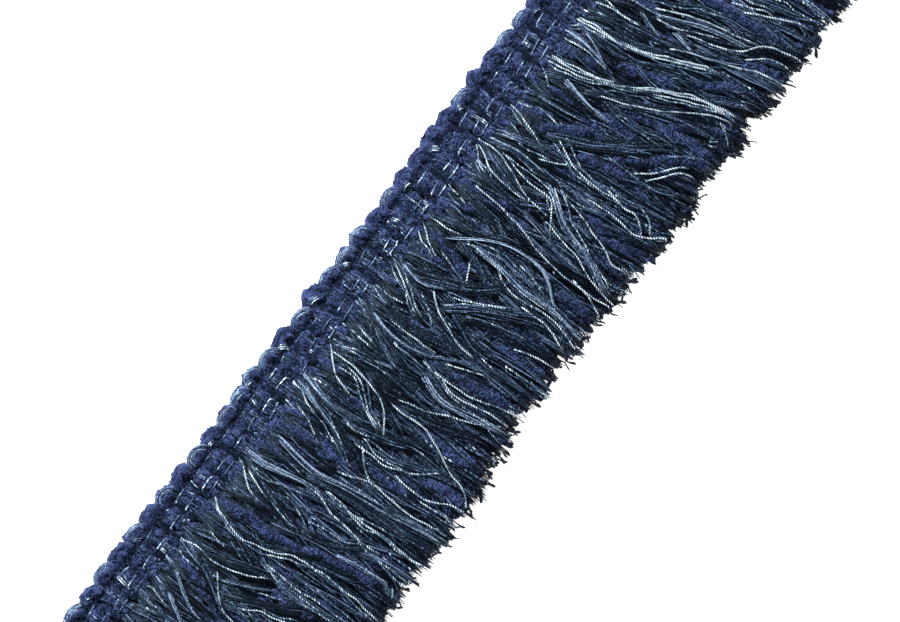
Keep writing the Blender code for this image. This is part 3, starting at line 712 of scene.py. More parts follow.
# Chenille yarns, where they show
CHENILLE_YARNS = table(single, 2, [
    (0.7, 0.5, -128.0, 14.0, -126.0, -3.0, -124.0, -20.0),
    (0.7, 0.5, -113.0, 2.0, -110.5, -14.0, -108.0, -30.0),
    (0.8, 0.7, -104.4, 17.5, -106.0, 12.5, -108.0, 8.6, -110.0, 2.0),
    (0.6, 0.4, -96.0, -9.0, -96.5, -14.1, -95.1, -20.3),
    (0.9, 0.6, -83.7, 18.3, -82.5, 10.6, -82.5, 2.9, -81.5, -4.9, -79.6, -9.7, -78.0, -16.0,
     -75.7, -28.6),
    (0.8, 0.5, -63.6, 24.0, -62.6, 20.5, -63.0, 16.0),
    (0.8, 0.6, -56.6, 21.5, -55.0, 15.0, -54.5, 6.0, -53.5, -2.0),
    (0.8, 0.6, -51.0, 19.0, -50.5, 12.0, -53.0, 4.0),
    (0.8, 0.8, -49.8, -8.0, -50.8, -11.6, -50.6, -15.0, -50.0, -19.4),
    (0.9, 0.8, -43.5, -22.8, -42.6, -28.0, -42.4, -35.8),
    (0.9, 0.8, -33.6, -24.7, -32.6, -29.0, -31.3, -32.9),
    (0.7, 0.5, -39.5, 13.5, -38.0, 9.0, -37.6, 4.0),
    (0.7, 0.5, -33.2, 18.5, -32.4, 12.5),
    (0.7, 0.5, -16.8, 21.5, -17.8, 17.0),
    (0.8, 0.6, -14.6, -4.4, -14.1, -12.0, -13.2, -20.0, -12.0, -27.0),
    (0.7, 0.5, -10.2, 10.0, -9.8, 0.0, -8.0, -8.0),
    (0.8, 0.6, -3.0, 22.5, -2.6, 18.0),
    (0.9, 0.9, 1.8, -10.7, 3.4, -15.5, 4.6, -21.3),
    (0.9, 0.8, 0.4, -15.5, 0.8, -23.0, 0.9, -33.0),
    (0.8, 0.6, 9.4, 23.5, 8.8, 17.0, 8.2, 10.0),
    (0.8, 0.5, 14.0, 17.0, 13.2, 11.0, 11.0, 4.0),
    (0.8, 0.5, 22.9, 22.0, 26.0, 17.0, 30.6, 12.0),
    (0.8, 0.5, 22.6, -22.0, 23.2, -28.0, 23.4, -34.0),
    (0.8, 0.6, 33.1, 23.1, 34.0, 12.0, 35.6, 4.0, 38.0, 0.4),
    (0.6, 0.4, 39.8, -1.5, 41.0, -5.0),
    (0.7, 0.6, 45.6, -14.5, 45.8, -18.0, 46.1, -20.8),
    (0.8, 0.6, 38.0, -21.0, 38.6, -28.0, 38.2, -35.0),
    (0.8, 0.5, 58.0, 24.0, 59.6, 20.0, 62.0, 14.0),
    (0.8, 0.5, 58.6, 12.0, 62.0, 6.0, 66.0, 0.0),
    (0.8, 0.7, 59.2, -3.4, 60.6, -8.0, 61.2, -16.0),
    (0.7, 0.5, 67.3, 7.0, 68.0, 0.0),
    (0.7, 0.6, 71.7, -2.0, 71.6, -9.2),
    (0.8, 0.5, 63.5, -10.0, 69.0, -18.0, 75.0, -25.0, 78.0, -31.0),
    (0.8, 0.6, 76.4, -2.5, 78.5, -11.0, 79.9, -21.0, 81.0, -30.0),
    (0.7, 0.6, 80.6, 22.2, 81.2, 16.5, 82.4, 11.5),
    (0.8, 0.6, 85.7, 5.7, 88.6, -2.0, 91.0, -9.2),
    (0.8, 0.7, 81.6, -17.4, 85.2, -23.2, 88.4, -29.0),
    (0.8, 0.7, 95.9, -16.5, 99.3, -22.3, 101.2, -26.1),
    (0.8, 0.7, 118.1, -6.8, 118.1, -13.1, 119.1, -19.4),
    (0.7, 0.4, 120.0, -24.0, 122.0, -33.0),
    (0.7, 0.6, 108.0, -22.0, 110.0, -28.0, 112.0, -34.0),
    (0.7, 0.5, -76.8, -19.0, -75.6, -28.0),
])

# Frayed pale ends at the tips: where each starts, its lean in degrees to the right and how far it splays
Tuft = namedtuple("Tuft", "x y lean splay tone")
TUFTS = [Tuft(*row) for row in [
    (-54.4, -32.5, 15, 40, 0.8), (-48.6, -33.0, 5, 25, 0.6), (-19.5, -29.0, -10, 35, 0.7),
    (-12.2, -32.0, 0, 40, 0.6), (-2.8, -32.5, 5, 25, 0.6), (33.0, -33.0, 30, 40, 0.7),
    (41.0, -33.0, -20, 40, 0.5), (53.0, -33.5, 25, 35, 0.7), (84.0, -29.5, 25, 50, 0.6),
    (90.6, -29.0, -25, 50, 0.9), (99.8, -30.0, 20, 60, 0.7), (127.4, -30.0, -5, 30, 0.6),
    (12.5, -28.0, -30, 30, 0.8), (-74.0, -33.0, -40, 30, 0.7), (66.0, -31.0, 10, 40, 0.5),
]]


SHORTEST_RUN = 1.0 * MM
RUN_SHARES = np.linspace(0.0, 1.0, 30)
LEVEL_MM = 1.6
LOWEST_YARN = 0.6 * MM
PLACE_SCATTER = 0.12 * MM
SPREAD_SWAY = 0.45
ROOT_EASE = 6.0 * MM
NEAR_FOOT = 20.0 * MM
NEAR_TIP = -31.0 * MM
DIVE = 3.4 * MM
DIVE_LENGTH = 4.5 * MM
HIDDEN_DEPTH = 0.8
SIDE_BY_SIDE = 1.85
SPREAD_LENGTH = 34.0 * MM


def run_to_root(start, slope):
    """The hidden run of a yarn from its root to where it starts to show."""
    above = ROOT_Y - start[1]
    if above <= SHORTEST_RUN:
        return np.empty((0, 2))
    shift = -0.5 * above * slope[0] / max(-slope[1], 0.5)
    root = np.array([start[0] + shift, ROOT_Y])
    return hermite(root, start, np.array([0.0, -above]), slope * above, RUN_SHARES)[:-1]


def run_to_tip(end, slope):
    """The hidden run of a yarn from where it last shows to its tip."""
    below = end[1] - tip_line(end[0])
    if below <= SHORTEST_RUN:
        return np.empty((0, 2))
    shift = 0.5 * below * slope[0] / max(-slope[1], 0.5)
    tip = np.array([end[0] + shift, end[1] - below])
    return hermite(end, tip, slope * below, np.array([0.3 * shift, -below]), RUN_SHARES)[1:]


def laid(yarn, place=0.0):
    """The centre line of a listed yarn and how deep it is hidden, 0 to 1, at each point.

    place is its share of half_width to one side, for yarns that lie side by side.
    """
    seen = route(yarn.points)
    tangent = unit(np.gradient(seen, axis=0))
    across = np.column_stack([-tangent[:, 1], tangent[:, 0]])
    spread = 1.0 + SPREAD_SWAY * np.sin(2 * np.pi * lengths_along(seen) / SPREAD_LENGTH + yarn.points[0][0])
    aside = place * SIDE_BY_SIDE * yarn.half_width * MM + PLACE_SCATTER * rng.normal()
    seen = seen + (aside * spread)[:, None] * across
    start, end = seen[0], seen[-1]
    flat = np.concatenate([run_to_root(start, tangent[0]), seen, run_to_tip(end, tangent[-1])])
    hidden = np.zeros(len(flat))
    if start[1] < NEAR_FOOT:
        hidden += smooth((flat[:, 1] - start[1]) / DIVE_LENGTH)
    if end[1] > NEAR_TIP:
        hidden += smooth((end[1] - flat[:, 1]) / DIVE_LENGTH)
    hidden = np.clip(hidden, 0.0, 1.0)
    height = surface_z(flat[:, 1]) + (yarn.level - 1.0) * LEVEL_MM * MM - DIVE * hidden
    rooted = smooth((ROOT_Y - flat[:, 1]) / ROOT_EASE)
    shallow = ROOT_Z + 0.3 * MM
    z = np.where(flat[:, 1] > ROOT_Y, height, shallow + (height - shallow) * rooted)
    return np.column_stack([flat, np.maximum(z, LOWEST_YARN)]), hidden


def step_lengths(hidden, fine, coarse):
    """Close stations where a yarn shows and far ones where it is hidden."""
    return np.where(hidden < HIDDEN_DEPTH, fine, coarse)


LIGHT_RADIUS = 0.315 * MM
LIGHT_LIFT = 0.42 * MM
LIGHT_BETWEEN = 16
LIGHT_AT_ENDS = 26
TUFT_YARNS = 5


def build_tufts(bunch):
    """The splayed ends of pale yarns at the tips."""
    t = np.linspace(0.0, 1.0, 9)
    for tuft in TUFTS:
        for _ in range(TUFT_YARNS):
            lean = np.radians(tuft.lean + rng.uniform(-0.5, 0.5) * tuft.splay)
            length = rng.uniform(2.5, 6.0) * MM
            x = (tuft.x + rng.normal(0.0, 0.8)) * MM + np.sin(lean) * length * t**1.3
            y = (tuft.y + rng.normal(1.0, 1.2)) * MM - np.cos(lean) * length * t
            z = surface_z(y) + (rng.uniform(-0.5, 0.4) - 1.2 * t**2) * MM
            line = wobble(np.column_stack([x, y, z]), 0.15 * MM)
            plied_yarn(bunch, line, LIGHT_RADIUS * rng.uniform(0.5, 0.9), tuft.tone + rng.normal(-0.1, 0.25))


def build_light_yarns(light):
    placed, between = Bunch(), Bunch()
    for yarn in LIGHT_YARNS:
        for place in np.linspace(-1, 1, yarn.yarns) if yarn.yarns > 1 else [0.0]:
            path, hidden = laid(yarn, place)
            path = wobble(path, (0.10 + 0.10 * abs(place)) * MM)
            path[:, 2] += LIGHT_LIFT - rng.uniform(0.0, 0.3) * MM * abs(place)
            tone = np.clip(yarn.tone - rng.uniform(0.0, 0.6) * abs(place), 0.15, 1.0)
            step = FINE_STEP * rng.uniform(0.92, 1.15)
            fine = resample(np.column_stack([path, hidden]), step_lengths(hidden, step, HIDDEN_STEP))
            plied_yarn(placed, fine[:, :3], LIGHT_RADIUS * rng.uniform(0.9, 1.15), tone, None)
    for x in rng.uniform(-0.97, 0.97, LIGHT_BETWEEN) * HALF_LENGTH:
        loose_yarn(between, x, LOOSE_BETWEEN)
    for number in range(LIGHT_AT_ENDS):
        loose_yarn(between, (-1) ** number * rng.uniform(0.70, 0.97) * HALF_LENGTH, LOOSE_AT_ENDS)
    build_tufts(placed)
    placed.build("light_yarns", light, "light_yarn", ["skirt_light_front"])
    between.build("light_yarns_between", light, "light_yarn")


# Pale yarns in seeded places: the least and greatest level and tone, how far they wander to the side in mm,
# their waviness and radius and how far apart their stations are
Loose = namedtuple("Loose", "level tone sway waviness radius step")
LOOSE_BETWEEN = Loose((0.2, 0.7), (0.3, 0.8), 7.0, 0.25 * MM, LIGHT_RADIUS * 0.9, 0.9 * MM)
LOOSE_AT_ENDS = Loose((0.9, 1.25), (0.4, 0.9), 6.0, 0.35 * MM, LIGHT_RADIUS, 0.6 * MM)
LOOSE_Y = np.array([24.0, 12.0, 0.0, -14.0, -28.0, -36.5])
LOOSE_SHARE = (LOOSE_Y[0] - LOOSE_Y) / (LOOSE_Y[0] - LOOSE_Y[-1])


def loose_points(x, sway):
    """Points, in mm, of a yarn that wanders down from under the heading at x."""
    lean = rng.uniform(-sway, sway) * smooth(LOOSE_SHARE * 1.4)
    lean = lean + rng.normal(0.0, 0.16 * sway, len(LOOSE_Y)) * LOOSE_SHARE
    across = x / MM + (lean + combed(x) / MM * LOOSE_SHARE) * end_calm(x)
    return list(zip(across, LOOSE_Y))


def loose_yarn(bunch, x, kind):
    """One pale yarn from a seeded place."""
    yarn = single(rng.uniform(*kind.level), rng.uniform(*kind.tone), loose_points(x, kind.sway))
    path, _ = laid(yarn)
    plied_yarn(bunch, wobble(path, kind.waviness), kind.radius, yarn.tone, kind.step)


LOCK_STEP = 2.8 * MM
LOCK_HIDDEN_STEP = 10.0 * MM
HIDDEN_NARROWER = 0.35
PALE_RADIUS = 0.12 * MM
DARK_RADIUS = 0.165 * MM
# How locks are filled: the filaments' radius, the scatter of their tone, how far the locks are lifted, and
# the shares of each lock's number of filaments and of its tone
LockLook = namedtuple("LockLook", "radius scatter lift fullness tone")
DARK_LOOK = LockLook(DARK_RADIUS, 0.40, 0.15 * MM, 0.83, 0.66)
PALE_LOOK = LockLook(PALE_RADIUS, 0.46, 0.45 * MM, 1.05, 0.66)
NAVY_IN_PALE_LOOK = LockLook(DARK_RADIUS, 0.30, 0.25 * MM, 0.42, 0.35)


def build_locks(bunch, locks, look):
    """Listed locks of filaments: spread where they show and drawn in where they are hidden."""
    for lock in locks:
        path, hidden = laid(single(lock.level, lock.tone, lock.points))
        shown = np.flatnonzero(hidden < 0.5)
        share = np.clip((np.arange(len(path)) - shown[0]) / (shown[-1] - shown[0]), 0.0, 1.0)
        width = (lock.half_width + (lock.end_width - lock.half_width) * share) * MM
        width = width * (1.0 - HIDDEN_NARROWER * hidden)
        path[:, 2] += look.lift
        rows = resample(np.column_stack([path, width]), step_lengths(hidden, LOCK_STEP, LOCK_HIDDEN_STEP))
        centres, width = rows[None, :, :3], rows[None, :, 3]
        tone = np.array([lock.tone * look.tone])
        height = np.array([LOCK_HALF_HEIGHT])
        filaments = int(lock.filaments * look.fullness)
        fill_lock(bunch, centres, width, height, filaments, tone, look.radius, look.scatter)


# Chenille

CHENILLE_SIDES = 10
BETWEEN_SIDES = 7
CHENILLE_RADIUS = 1.5 * MM
CHENILLE_BETWEEN = 60
CHENILLE_ENDS = 110
CHENILLE_END_RADIUS = 0.85 * MM
CHENILLE_STEP = 0.55 * MM
CHENILLE_HIDDEN_STEP = 2.5 * MM
CHENILLE_SINK = 1.15 * MM
PILE_REST = 1.15
RIB_PITCH = 1.3 * MM
RIB_HEIGHT = 0.07
SWELL = 0.12
SWELL_LENGTH = 1.7 * MM
PILE_ROUGH = 0.15
LOOP_PILE_ROUGH = 0.25
FUZZ_PER_MM = 8
FUZZ_LENGTH = 0.7 * MM
FUZZ_RADIUS = 0.11 * MM


def chenille_yarn(bunch, path, radius, tone, sides=CHENILLE_SIDES, rough=PILE_ROUGH):
    """A soft round yarn with an uneven pile in slow ribs."""
    stations = len(path)
    along = lengths_along(path)[:, None]
    ribs = RIB_HEIGHT * np.sin(2 * np.pi * along / RIB_PITCH + around(sides)[None, :] + rng.uniform(0, 6))
    tufts = rng.normal(0.0, rough, (stations, sides))
    section = 1.0 + ribs + tufts
    ends = np.minimum(along, along[-1] - along)[:, 0]
    swell = 1.0 + SWELL * np.sin(along[:, 0] / SWELL_LENGTH + rng.uniform(0, 6))
    reach = radius * swell * (0.5 + 0.5 * smooth(ends / (1.5 * MM)))
    tones = tone + rng.normal(0.0, 0.08, (1, stations))
    # groove: painted shade where the pile dips between tufts and ribs
    groove = np.clip(0.5 - 0.4 * tufts / rough - 3.0 * ribs, 0.0, 1.0)
    sweep(bunch, path[None], reach[None], sides, tones, section[None], groove=groove[None])


def add_fuzz(bunch, path, radius, tone, count, thickness=FUZZ_RADIUS):
    """Short closed fibres that stand out all round the upper half of a yarn."""
    side, above = frames(path[None])
    at = rng.integers(1, len(path) - 1, count)
    angle = rng.uniform(-0.15 * np.pi, 1.15 * np.pi, count)[:, None]
    out = np.cos(angle) * side[0, at] + np.sin(angle) * above[0, at]
    spread = rng.normal(0.0, 0.45, (count, 3))
    root = path[at] + out * radius * 0.86 + spread * 0.3 * MM
    point = unit(out + spread)
    apex = root + point * (FUZZ_LENGTH * rng.uniform(0.6, 1.3, count))[:, None]
    first = unit(np.cross(point, rng.normal(0.0, 1.0, (count, 3))))
    second = np.cross(point, first)
    turns = around(3)[None, :, None]
    ring = root[:, None] + thickness * (np.cos(turns) * first[:, None] + np.sin(turns) * second[:, None])
    points = np.concatenate([ring, apex[:, None]], axis=1).reshape(-1, 3)
    base = np.arange(count)[:, None] * 4
    sides = np.concatenate([base + (0, 1, 3), base + (1, 2, 3), base + (2, 0, 3)])
    tones = np.repeat(tone + rng.normal(0.0, 0.45, count), 4)
    bunch.add(points, [sides, base + (2, 1, 0)], tones, np.zeros(len(points)))


def shortened(path):
    """The same number of points, but ending a little short of the skirt's cut edge, as soft pile does."""
    room = path[:, 1] - tip_line(path[:, 0])
    stop = rng.uniform(-0.6, 2.4) * MM
    kept = path[room > stop]
    at = np.linspace(0.0, 1.0, len(path))
    return np.stack([np.interp(at, np.linspace(0.0, 1.0, len(kept)), kept[:, k]) for k in range(3)], axis=1)


def build_placed_chenille(placed):
    """The chenille yarns that show, fuzzy where they do."""
    for yarn in CHENILLE_YARNS:
        path, hidden = laid(yarn)
        path = wobble(path, 0.25 * MM)
        sink = CHENILLE_SINK * rng.uniform(0.8, 1.5)
        radius = CHENILLE_RADIUS * rng.uniform(0.9, 1.1)
        path[:, 2] = np.maximum(path[:, 2] - sink, PILE_REST * radius)
        seen = path[hidden < 0.5]
        add_fuzz(placed, seen, radius, yarn.tone, int(lengths_along(seen)[-1] / MM * FUZZ_PER_MM))
        path = resample(shortened(path), step_lengths(hidden, CHENILLE_STEP, CHENILLE_HIDDEN_STEP))
        chenille_yarn(placed, path, radius, yarn.tone)


def build_chenille_between(between):
    """The chenille yarns deeper in the pile, all along the trim."""
    for x in np.linspace(-0.965, 0.965, CHENILLE_BETWEEN) * HALF_LENGTH:
        level = rng.uniform(-0.5, 0.1)
        path, _ = laid(single(level, 0.45, loose_points(x + rng.normal(0, 1.2 * MM), 5.0)))
        path[:, 2] = np.maximum(path[:, 2] - CHENILLE_SINK, PILE_REST * CHENILLE_RADIUS)
        path = resample(shortened(wobble(path, 0.3 * MM)), 1.7 * MM)
        chenille_yarn(between, path, CHENILLE_RADIUS, rng.uniform(0.3, 0.6), BETWEEN_SIDES)


def build_chenille_ends(placed):
    """Short soft ends along the cut edge."""
    t = np.linspace(0.0, 1.0, 6)
    for x in rng.uniform(-0.975, 0.975, CHENILLE_ENDS) * HALF_LENGTH:
        reach = rng.uniform(2.5, 5.0) * MM
        start = np.array([x, tip_line(x) + reach - rng.uniform(0.0, 1.8) * MM, rng.uniform(1.2, 4.0) * MM])
        across = rng.normal(0.1, 0.25) * reach * end_calm(x)
        end = np.array([x + across, max(start[1] - reach, TIP_Y - 2.0 * MM), 1.1 * MM])
        path = start + t[:, None] * (end - start)
        path[:, 0] += rng.normal(0.0, 0.7 * MM) * np.sin(2.2 * np.pi * t) * end_calm(x)
        radius = CHENILLE_END_RADIUS * rng.uniform(0.7, 1.2)
        chenille_yarn(placed, path, radius, rng.uniform(-0.2, 0.4), BETWEEN_SIDES)


def build_chenille(material):
    placed, between = Bunch(), Bunch()
    build_placed_chenille(placed)
    build_chenille_between(between)
    build_chenille_ends(placed)
    placed.build("chenille_front", material, "chenille", ["skirt_chenille_front"])
    between.build("chenille_between", material, "chenille", ["skirt_chenille_back"])


# Ragged ends

THREAD_COUNT = 300
THREAD_RADIUS = 0.16 * MM
THREAD_START = 2.5 * MM
THREAD_LENGTH = 2.5 * MM
THREAD_MORE = 4.0 * MM
THREAD_PAST = 3.6 * MM
KNOT_CHANCE = 0.6
KNOT = (1.7, 2.2, 1.2)


def build_ends(dark):
    """Thin curled threads past the cut edge, some with a small knot."""
    t = np.linspace(0.0, 1.0, 9)
    for _ in range(THREAD_COUNT):
        x = rng.uniform(-0.98, 0.98) * HALF_LENGTH
        start_y = tip_line(x) + THREAD_START
        length = THREAD_LENGTH + min(rng.gamma(2.0, 0.95 * MM), THREAD_MORE)
        lean = rng.normal(0.12, 0.32)
        curl = rng.normal(0.0, 0.8) * np.sin(np.pi * t) + rng.normal(0.0, 0.5) * np.sin(2.5 * np.pi * t)
        across = np.clip(x + lean * length * t + curl * MM, -0.999 * HALF_LENGTH, 0.999 * HALF_LENGTH)
        y = np.maximum(start_y - length * t, TIP_Y - THREAD_PAST)
        z = rng.uniform(0.8, 4.0) * MM * (1.0 - 0.4 * t)
        radius = THREAD_RADIUS * rng.uniform(0.9, 1.8) * np.ones(9)
        if rng.random() < KNOT_CHANCE:
            radius[-3:] *= KNOT
        line = np.column_stack([across, y - 0.02 * MM * t, z])
        sweep(dark, line[None], radius[None], 4, rng.uniform(-0.2, 0.2))


# Heading

# The look of each loop along the edge: f is fuzzy chenille, n plain navy, b has a few pale yarns, p many.
LOOP_KINDS = "nfbfpfnfbfnf" "bfnpbbfpfbbpfbffffnf" "fbnfpfbnffbnfpf"
CREST_SILK = {"f": 0, "n": 4, "b": 10, "p": 16}
# Along the trim, in mm: x, how far the crests lie below the heading's upper edge there, and how far to the
# right of even spacing
CRESTS = ((-170, 0.8, 0.5), (-78, 1.3, 0.8), (-63, 1.3, 1.4), (-57, 1.2, 0.8), (-50, 0.4, 0.3),
          (-38, 0.9, 0.2), (-27, 1.4, 0.6), (-20, 0.2, 0.8), (-13, 0.5, 1.1), (1, 0.9, 1.3), (15, 0.6, 1.2),
          (30, 0.2, 0.8), (44, -0.4, 0.6), (52, -0.2, 0.5), (80, -0.2, 0.5), (170, 0.4, 0.5))
CREST_X, CREST_DROP, CREST_SHIFT = np.array(CRESTS).T * MM
ROW_RISE = 0.8 * MM
BODY_Z = 2.5 * MM
DOME = 1.6 * MM
GATHER_LENGTH = 3.6 * MM
PINCH_DEPTH = 0.45 * MM
PINCH_LENGTH = 0.7 * MM
LOOP_YARNS = 13
YARN_RADIUS = 0.25 * MM
LEG_SINK = 0.9 * MM
LOOP_CHENILLE_RADIUS = 1.1 * MM
BUNDLE_EDGE = 1.4 * MM
CORE_RADIUS = 1.35 * MM
THIN_RISE = 0.4 * MM
HOLLOW = 0.25 * MM
HOLLOW_DEPTH = 0.9 * MM
HOLLOW_DROP = 4.8 * MM
HOLLOW_LENGTH = 1.3 * MM
# Painted light on the loops, in tone: a painted highlight over each crest and painted shade in the dip below
# it
PAINTED_CREST_HIGHLIGHT = 0.85
PAINTED_HOLLOW_SHADE = 0.8
CREST_FUZZ = 80
CREST_FUZZ_RADIUS = 0.17 * MM
GROUND_PER_LOOP = 8
GROUND_RADIUS = 0.62 * MM
STITCH_RADIUS = 0.20 * MM
STITCH_Z = BODY_Z + DOME + 0.35 * MM


def row_y(row, x):
    """The y of a row of stitching at x. The rows lie a little higher towards the right end."""
    return CREST_Y - row + ROW_RISE * smooth((x - 20.0 * MM) / (40.0 * MM))


def pinch(y, x):
    """1 under a row of stitching, 0 clear of them."""
    value = np.zeros_like(y)
    for row in STITCH_ROWS:
        value = np.maximum(value, bell(y - row_y(row, x), PINCH_LENGTH))
    return value


# One loop of the heading's upper edge: the x of its middle, the y of its crest, half its width, how round
# its crest is and how much higher its right side lies than its left.
Loop = namedtuple("Loop", "middle crest half_width round tilt")


def make_loop(number, kind):
    half_width = rng.uniform(4.1, 4.7) * MM
    middle = -HALF_LENGTH + (number + 0.5) * LOOP_PITCH
    crest = CREST_Y - np.interp(middle, CREST_X, CREST_DROP) - rng.uniform(-0.2, 0.5) * MM
    crest = crest + (0.0 if kind == "f" else THIN_RISE)
    middle = middle + np.interp(middle, CREST_X, CREST_SHIFT) + rng.normal(0.0, 0.15 * MM)
    middle = inside(middle, half_width)
    return Loop(middle, crest, half_width, rng.uniform(0.56, 0.72), rng.uniform(0.2, 0.9) * MM)


def loop_line(loop, reach, lift, tail=0.0, sink=0.0):
    """One looped yarn: up from the foot, over the crest at reach from the loop's middle, and down again.

    Its legs lie in the bundles at the notches on either side, deeper by sink, and run on past the
    heading's foot by tail.
    """
    share = reach / loop.half_width
    arc_y = loop.crest - loop.half_width * loop.round
    turn = np.linspace(np.pi, 0.0, 11)
    arc = np.column_stack([reach * np.cos(turn), arc_y + loop.round * reach * np.sin(turn)])
    down = np.linspace(arc_y, FOOT_Y - tail, 11)[1:]
    gathered = smooth((arc_y - down) / GATHER_LENGTH)
    leg = BUNDLE_EDGE + (0.5 * LOOP_PITCH - BUNDLE_EDGE) * share
    leg = leg + (0.5 * LOOP_PITCH - leg) * 0.25 * pinch(down, loop.middle)
    past = np.clip((FOOT_Y - down) / (6.0 * MM), 0.0, 1.0)
    leg = leg - rng.uniform(-0.5, 1.5) * MM * past
    right = np.column_stack([reach + (leg - reach) * gathered, down])
    left = right[::-1] * (-1, 1)
    flat = np.concatenate([left, arc, right])
    shell = np.sqrt(max(1.0 - ((share - 0.5) / 0.56) ** 2, 0.04))
    ridge = 0.25 + 0.75 * np.sqrt(max(1.0 - (1.0 - share) ** 2, 0.0))
    in_bundle = smooth((arc_y - flat[:, 1]) / GATHER_LENGTH)
    z = BODY_Z + DOME * (shell + (ridge - shell) * in_bundle) + lift
    z = z + loop.tilt * flat[:, 0] / loop.half_width * (1.0 - in_bundle)
    z = z - (PINCH_DEPTH * pinch(flat[:, 1], loop.middle) + sink) * in_bundle
    below = smooth((FOOT_Y - flat[:, 1]) / (5.0 * MM))
    z = z + below * (surface_z(flat[:, 1]) - 1.3 * MM - z)
    return np.column_stack([loop.middle + flat[:, 0], flat[:, 1], z])


def build_heading(filament, silk, chenille_pile, light):
    navy, pale, chenille, stitches = Bunch(), Bunch(), Bunch(), Bunch()
    for number, kind in enumerate(LOOP_KINDS):
        loop = make_loop(number, kind)
        build_loop_yarns(loop, kind, navy)
        build_crest_silk(loop, kind, pale)
        build_loop_chenille(loop, kind, chenille)
    build_ground(navy)
    build_bars(stitches)
    build_strokes(stitches)
    build_uprights(stitches)
    navy.build("heading_loops", filament, "heading_weave", ["heading"])
    pale.build("heading_silk", silk, "light_yarn")
    chenille.build("heading_chenille", chenille_pile, "chenille")
    stitches.build("heading_stitches", light, "light_yarn")


# hollow_below sinks the yarns in the dip below a crest and also sets where the painted shade goes
def hollow_below(loop, y):
    """1 in the dip below a loop's rounded crest, 0 clear of it."""
    return bell(y - loop.crest + HOLLOW_DROP, HOLLOW_LENGTH)


def on_crest(loop, y):
    """Where the painted highlight goes: 1 over a loop's rounded crest, easing to 0 below it."""
    return smooth((y - loop.crest + 4.2 * MM) / (2.4 * MM))


def with_painted_crest_light(loop, y, tone):
    """The tone along a yarn of a loop, with a painted highlight over its crest and painted shade in the dip
    below it.
    """
    return tone + PAINTED_CREST_HIGHLIGHT * on_crest(loop, y) - PAINTED_HOLLOW_SHADE * hollow_below(loop, y)


def build_crest_silk(loop, kind, bunch):
    """The silky filaments over a loop's crest, which dip in between its other yarns at both ends."""
    bow = np.linspace(-1.0, 1.0, 9)
    for _ in range(CREST_SILK[kind]):
        reach = loop.half_width * rng.uniform(0.35, 0.98)
        line = loop_line(loop, reach, rng.uniform(0.1, 0.6) * MM)[11:20]
        line[:, 2] -= rng.uniform(0.6, 1.4) * MM * np.abs(bow + rng.normal(0.0, 0.15)) ** 3
        tone = rng.uniform(0.3, 1.1)
        sweep(bunch, wobble(line, 0.08 * MM)[None], PALE_RADIUS * rng.uniform(0.9, 1.5), 3, tone)


def build_loop_yarns(loop, kind, navy):
    """The fine yarns of one loop, side by side over its width."""
    sunk = 0.45 * MM if kind == "f" else 0.1 * MM
    for number in range(LOOP_YARNS):
        share = (number + rng.uniform(0.1, 0.9)) / LOOP_YARNS
        reach = HOLLOW + (loop.half_width - HOLLOW - YARN_RADIUS) * share
        lift = rng.uniform(-0.45, 0.35) * MM - sunk
        sink = LEG_SINK * rng.uniform(-0.6, 0.8)
        line = wobble(loop_line(loop, reach, lift, rng.uniform(0.5, 7.0) * MM, sink), 0.12 * MM)
        line[:, 0] = inside(line[:, 0], YARN_RADIUS)
        line[:, 2] -= HOLLOW_DEPTH * hollow_below(loop, line[:, 1])
        tone = rng.choice([0.15, 0.5, 0.8], p=[0.35, 0.35, 0.30]) + rng.normal(0.0, 0.12)
        # painted highlight over the crest and painted shade in the dip below it
        tone = with_painted_crest_light(loop, line[:, 1], tone)
        radius = YARN_RADIUS * rng.uniform(0.6, 1.1)
        sweep(navy, line[None], radius, 3, tone[None], twist=rng.uniform(0, 2))
    edge = loop_line(loop, loop.half_width - 0.35 * MM, -sunk)[10:21]
    add_fuzz(navy, edge, 0.3 * MM, 0.15, CREST_FUZZ if kind == "f" else CREST_FUZZ // 3)


def build_loop_chenille(loop, kind, bunch):
    """Soft yarns that fill a loop: two on top in a fuzzy one, one sunk between the yarns of the others."""
    turns = ((0.28, -0.30), (0.74, -0.35)) if kind == "f" else ((0.26, -0.35), (0.62, -0.95))
    for share, lift in turns:
        share = share + rng.uniform(-0.06, 0.06)
        line = loop_line(loop, loop.half_width * share, lift * MM, rng.uniform(-1.0, 4.0) * MM)
        line = resample(wobble(line, 0.3 * MM), 1.0 * MM)
        line[:, 0] = inside(line[:, 0], 1.2 * MM)
        radius = LOOP_CHENILLE_RADIUS * rng.uniform(0.85, 1.1) * (1.0 - 0.3 * pinch(line[:, 1], loop.middle))
        line[:, 2] -= HOLLOW_DEPTH * hollow_below(loop, line[:, 1])
        tone = rng.uniform(0.35, 0.85)
        # painted highlight over the crest and painted shade in the dip below it
        tones = with_painted_crest_light(loop, line[:, 1], tone) + rng.normal(0.0, 0.4, len(line))
        chenille_yarn(bunch, line, radius, tones, 8, LOOP_PILE_ROUGH)
        over = line[line[:, 1] > loop.crest - 6.0 * MM]
        # the fuzz over the crest gets the painted highlight too
        add_fuzz(bunch, over, LOOP_CHENILLE_RADIUS, tone + PAINTED_CREST_HIGHLIGHT, CREST_FUZZ, CREST_FUZZ_RADIUS)
    y = np.linspace(loop.crest - 2.2 * MM, FOOT_Y - 1.0 * MM, 16)
    core = np.column_stack([np.full(16, loop.middle), y, np.full(16, BODY_Z + 0.15 * MM)])
    core[:, 2] -= HOLLOW_DEPTH * hollow_below(loop, y)
    # The core's dark tone is partly its own navy and partly painted shade under the loop's yarns, with more
    # painted shade in the dip below the crest
    tone = rng.uniform(-0.7, 0.25) + rng.normal(0.0, 0.6, 16) - PAINTED_HOLLOW_SHADE * hollow_below(loop, y)
    chenille_yarn(bunch, wobble(core, 0.4 * MM), CORE_RADIUS, tone, 8, LOOP_PILE_ROUGH)


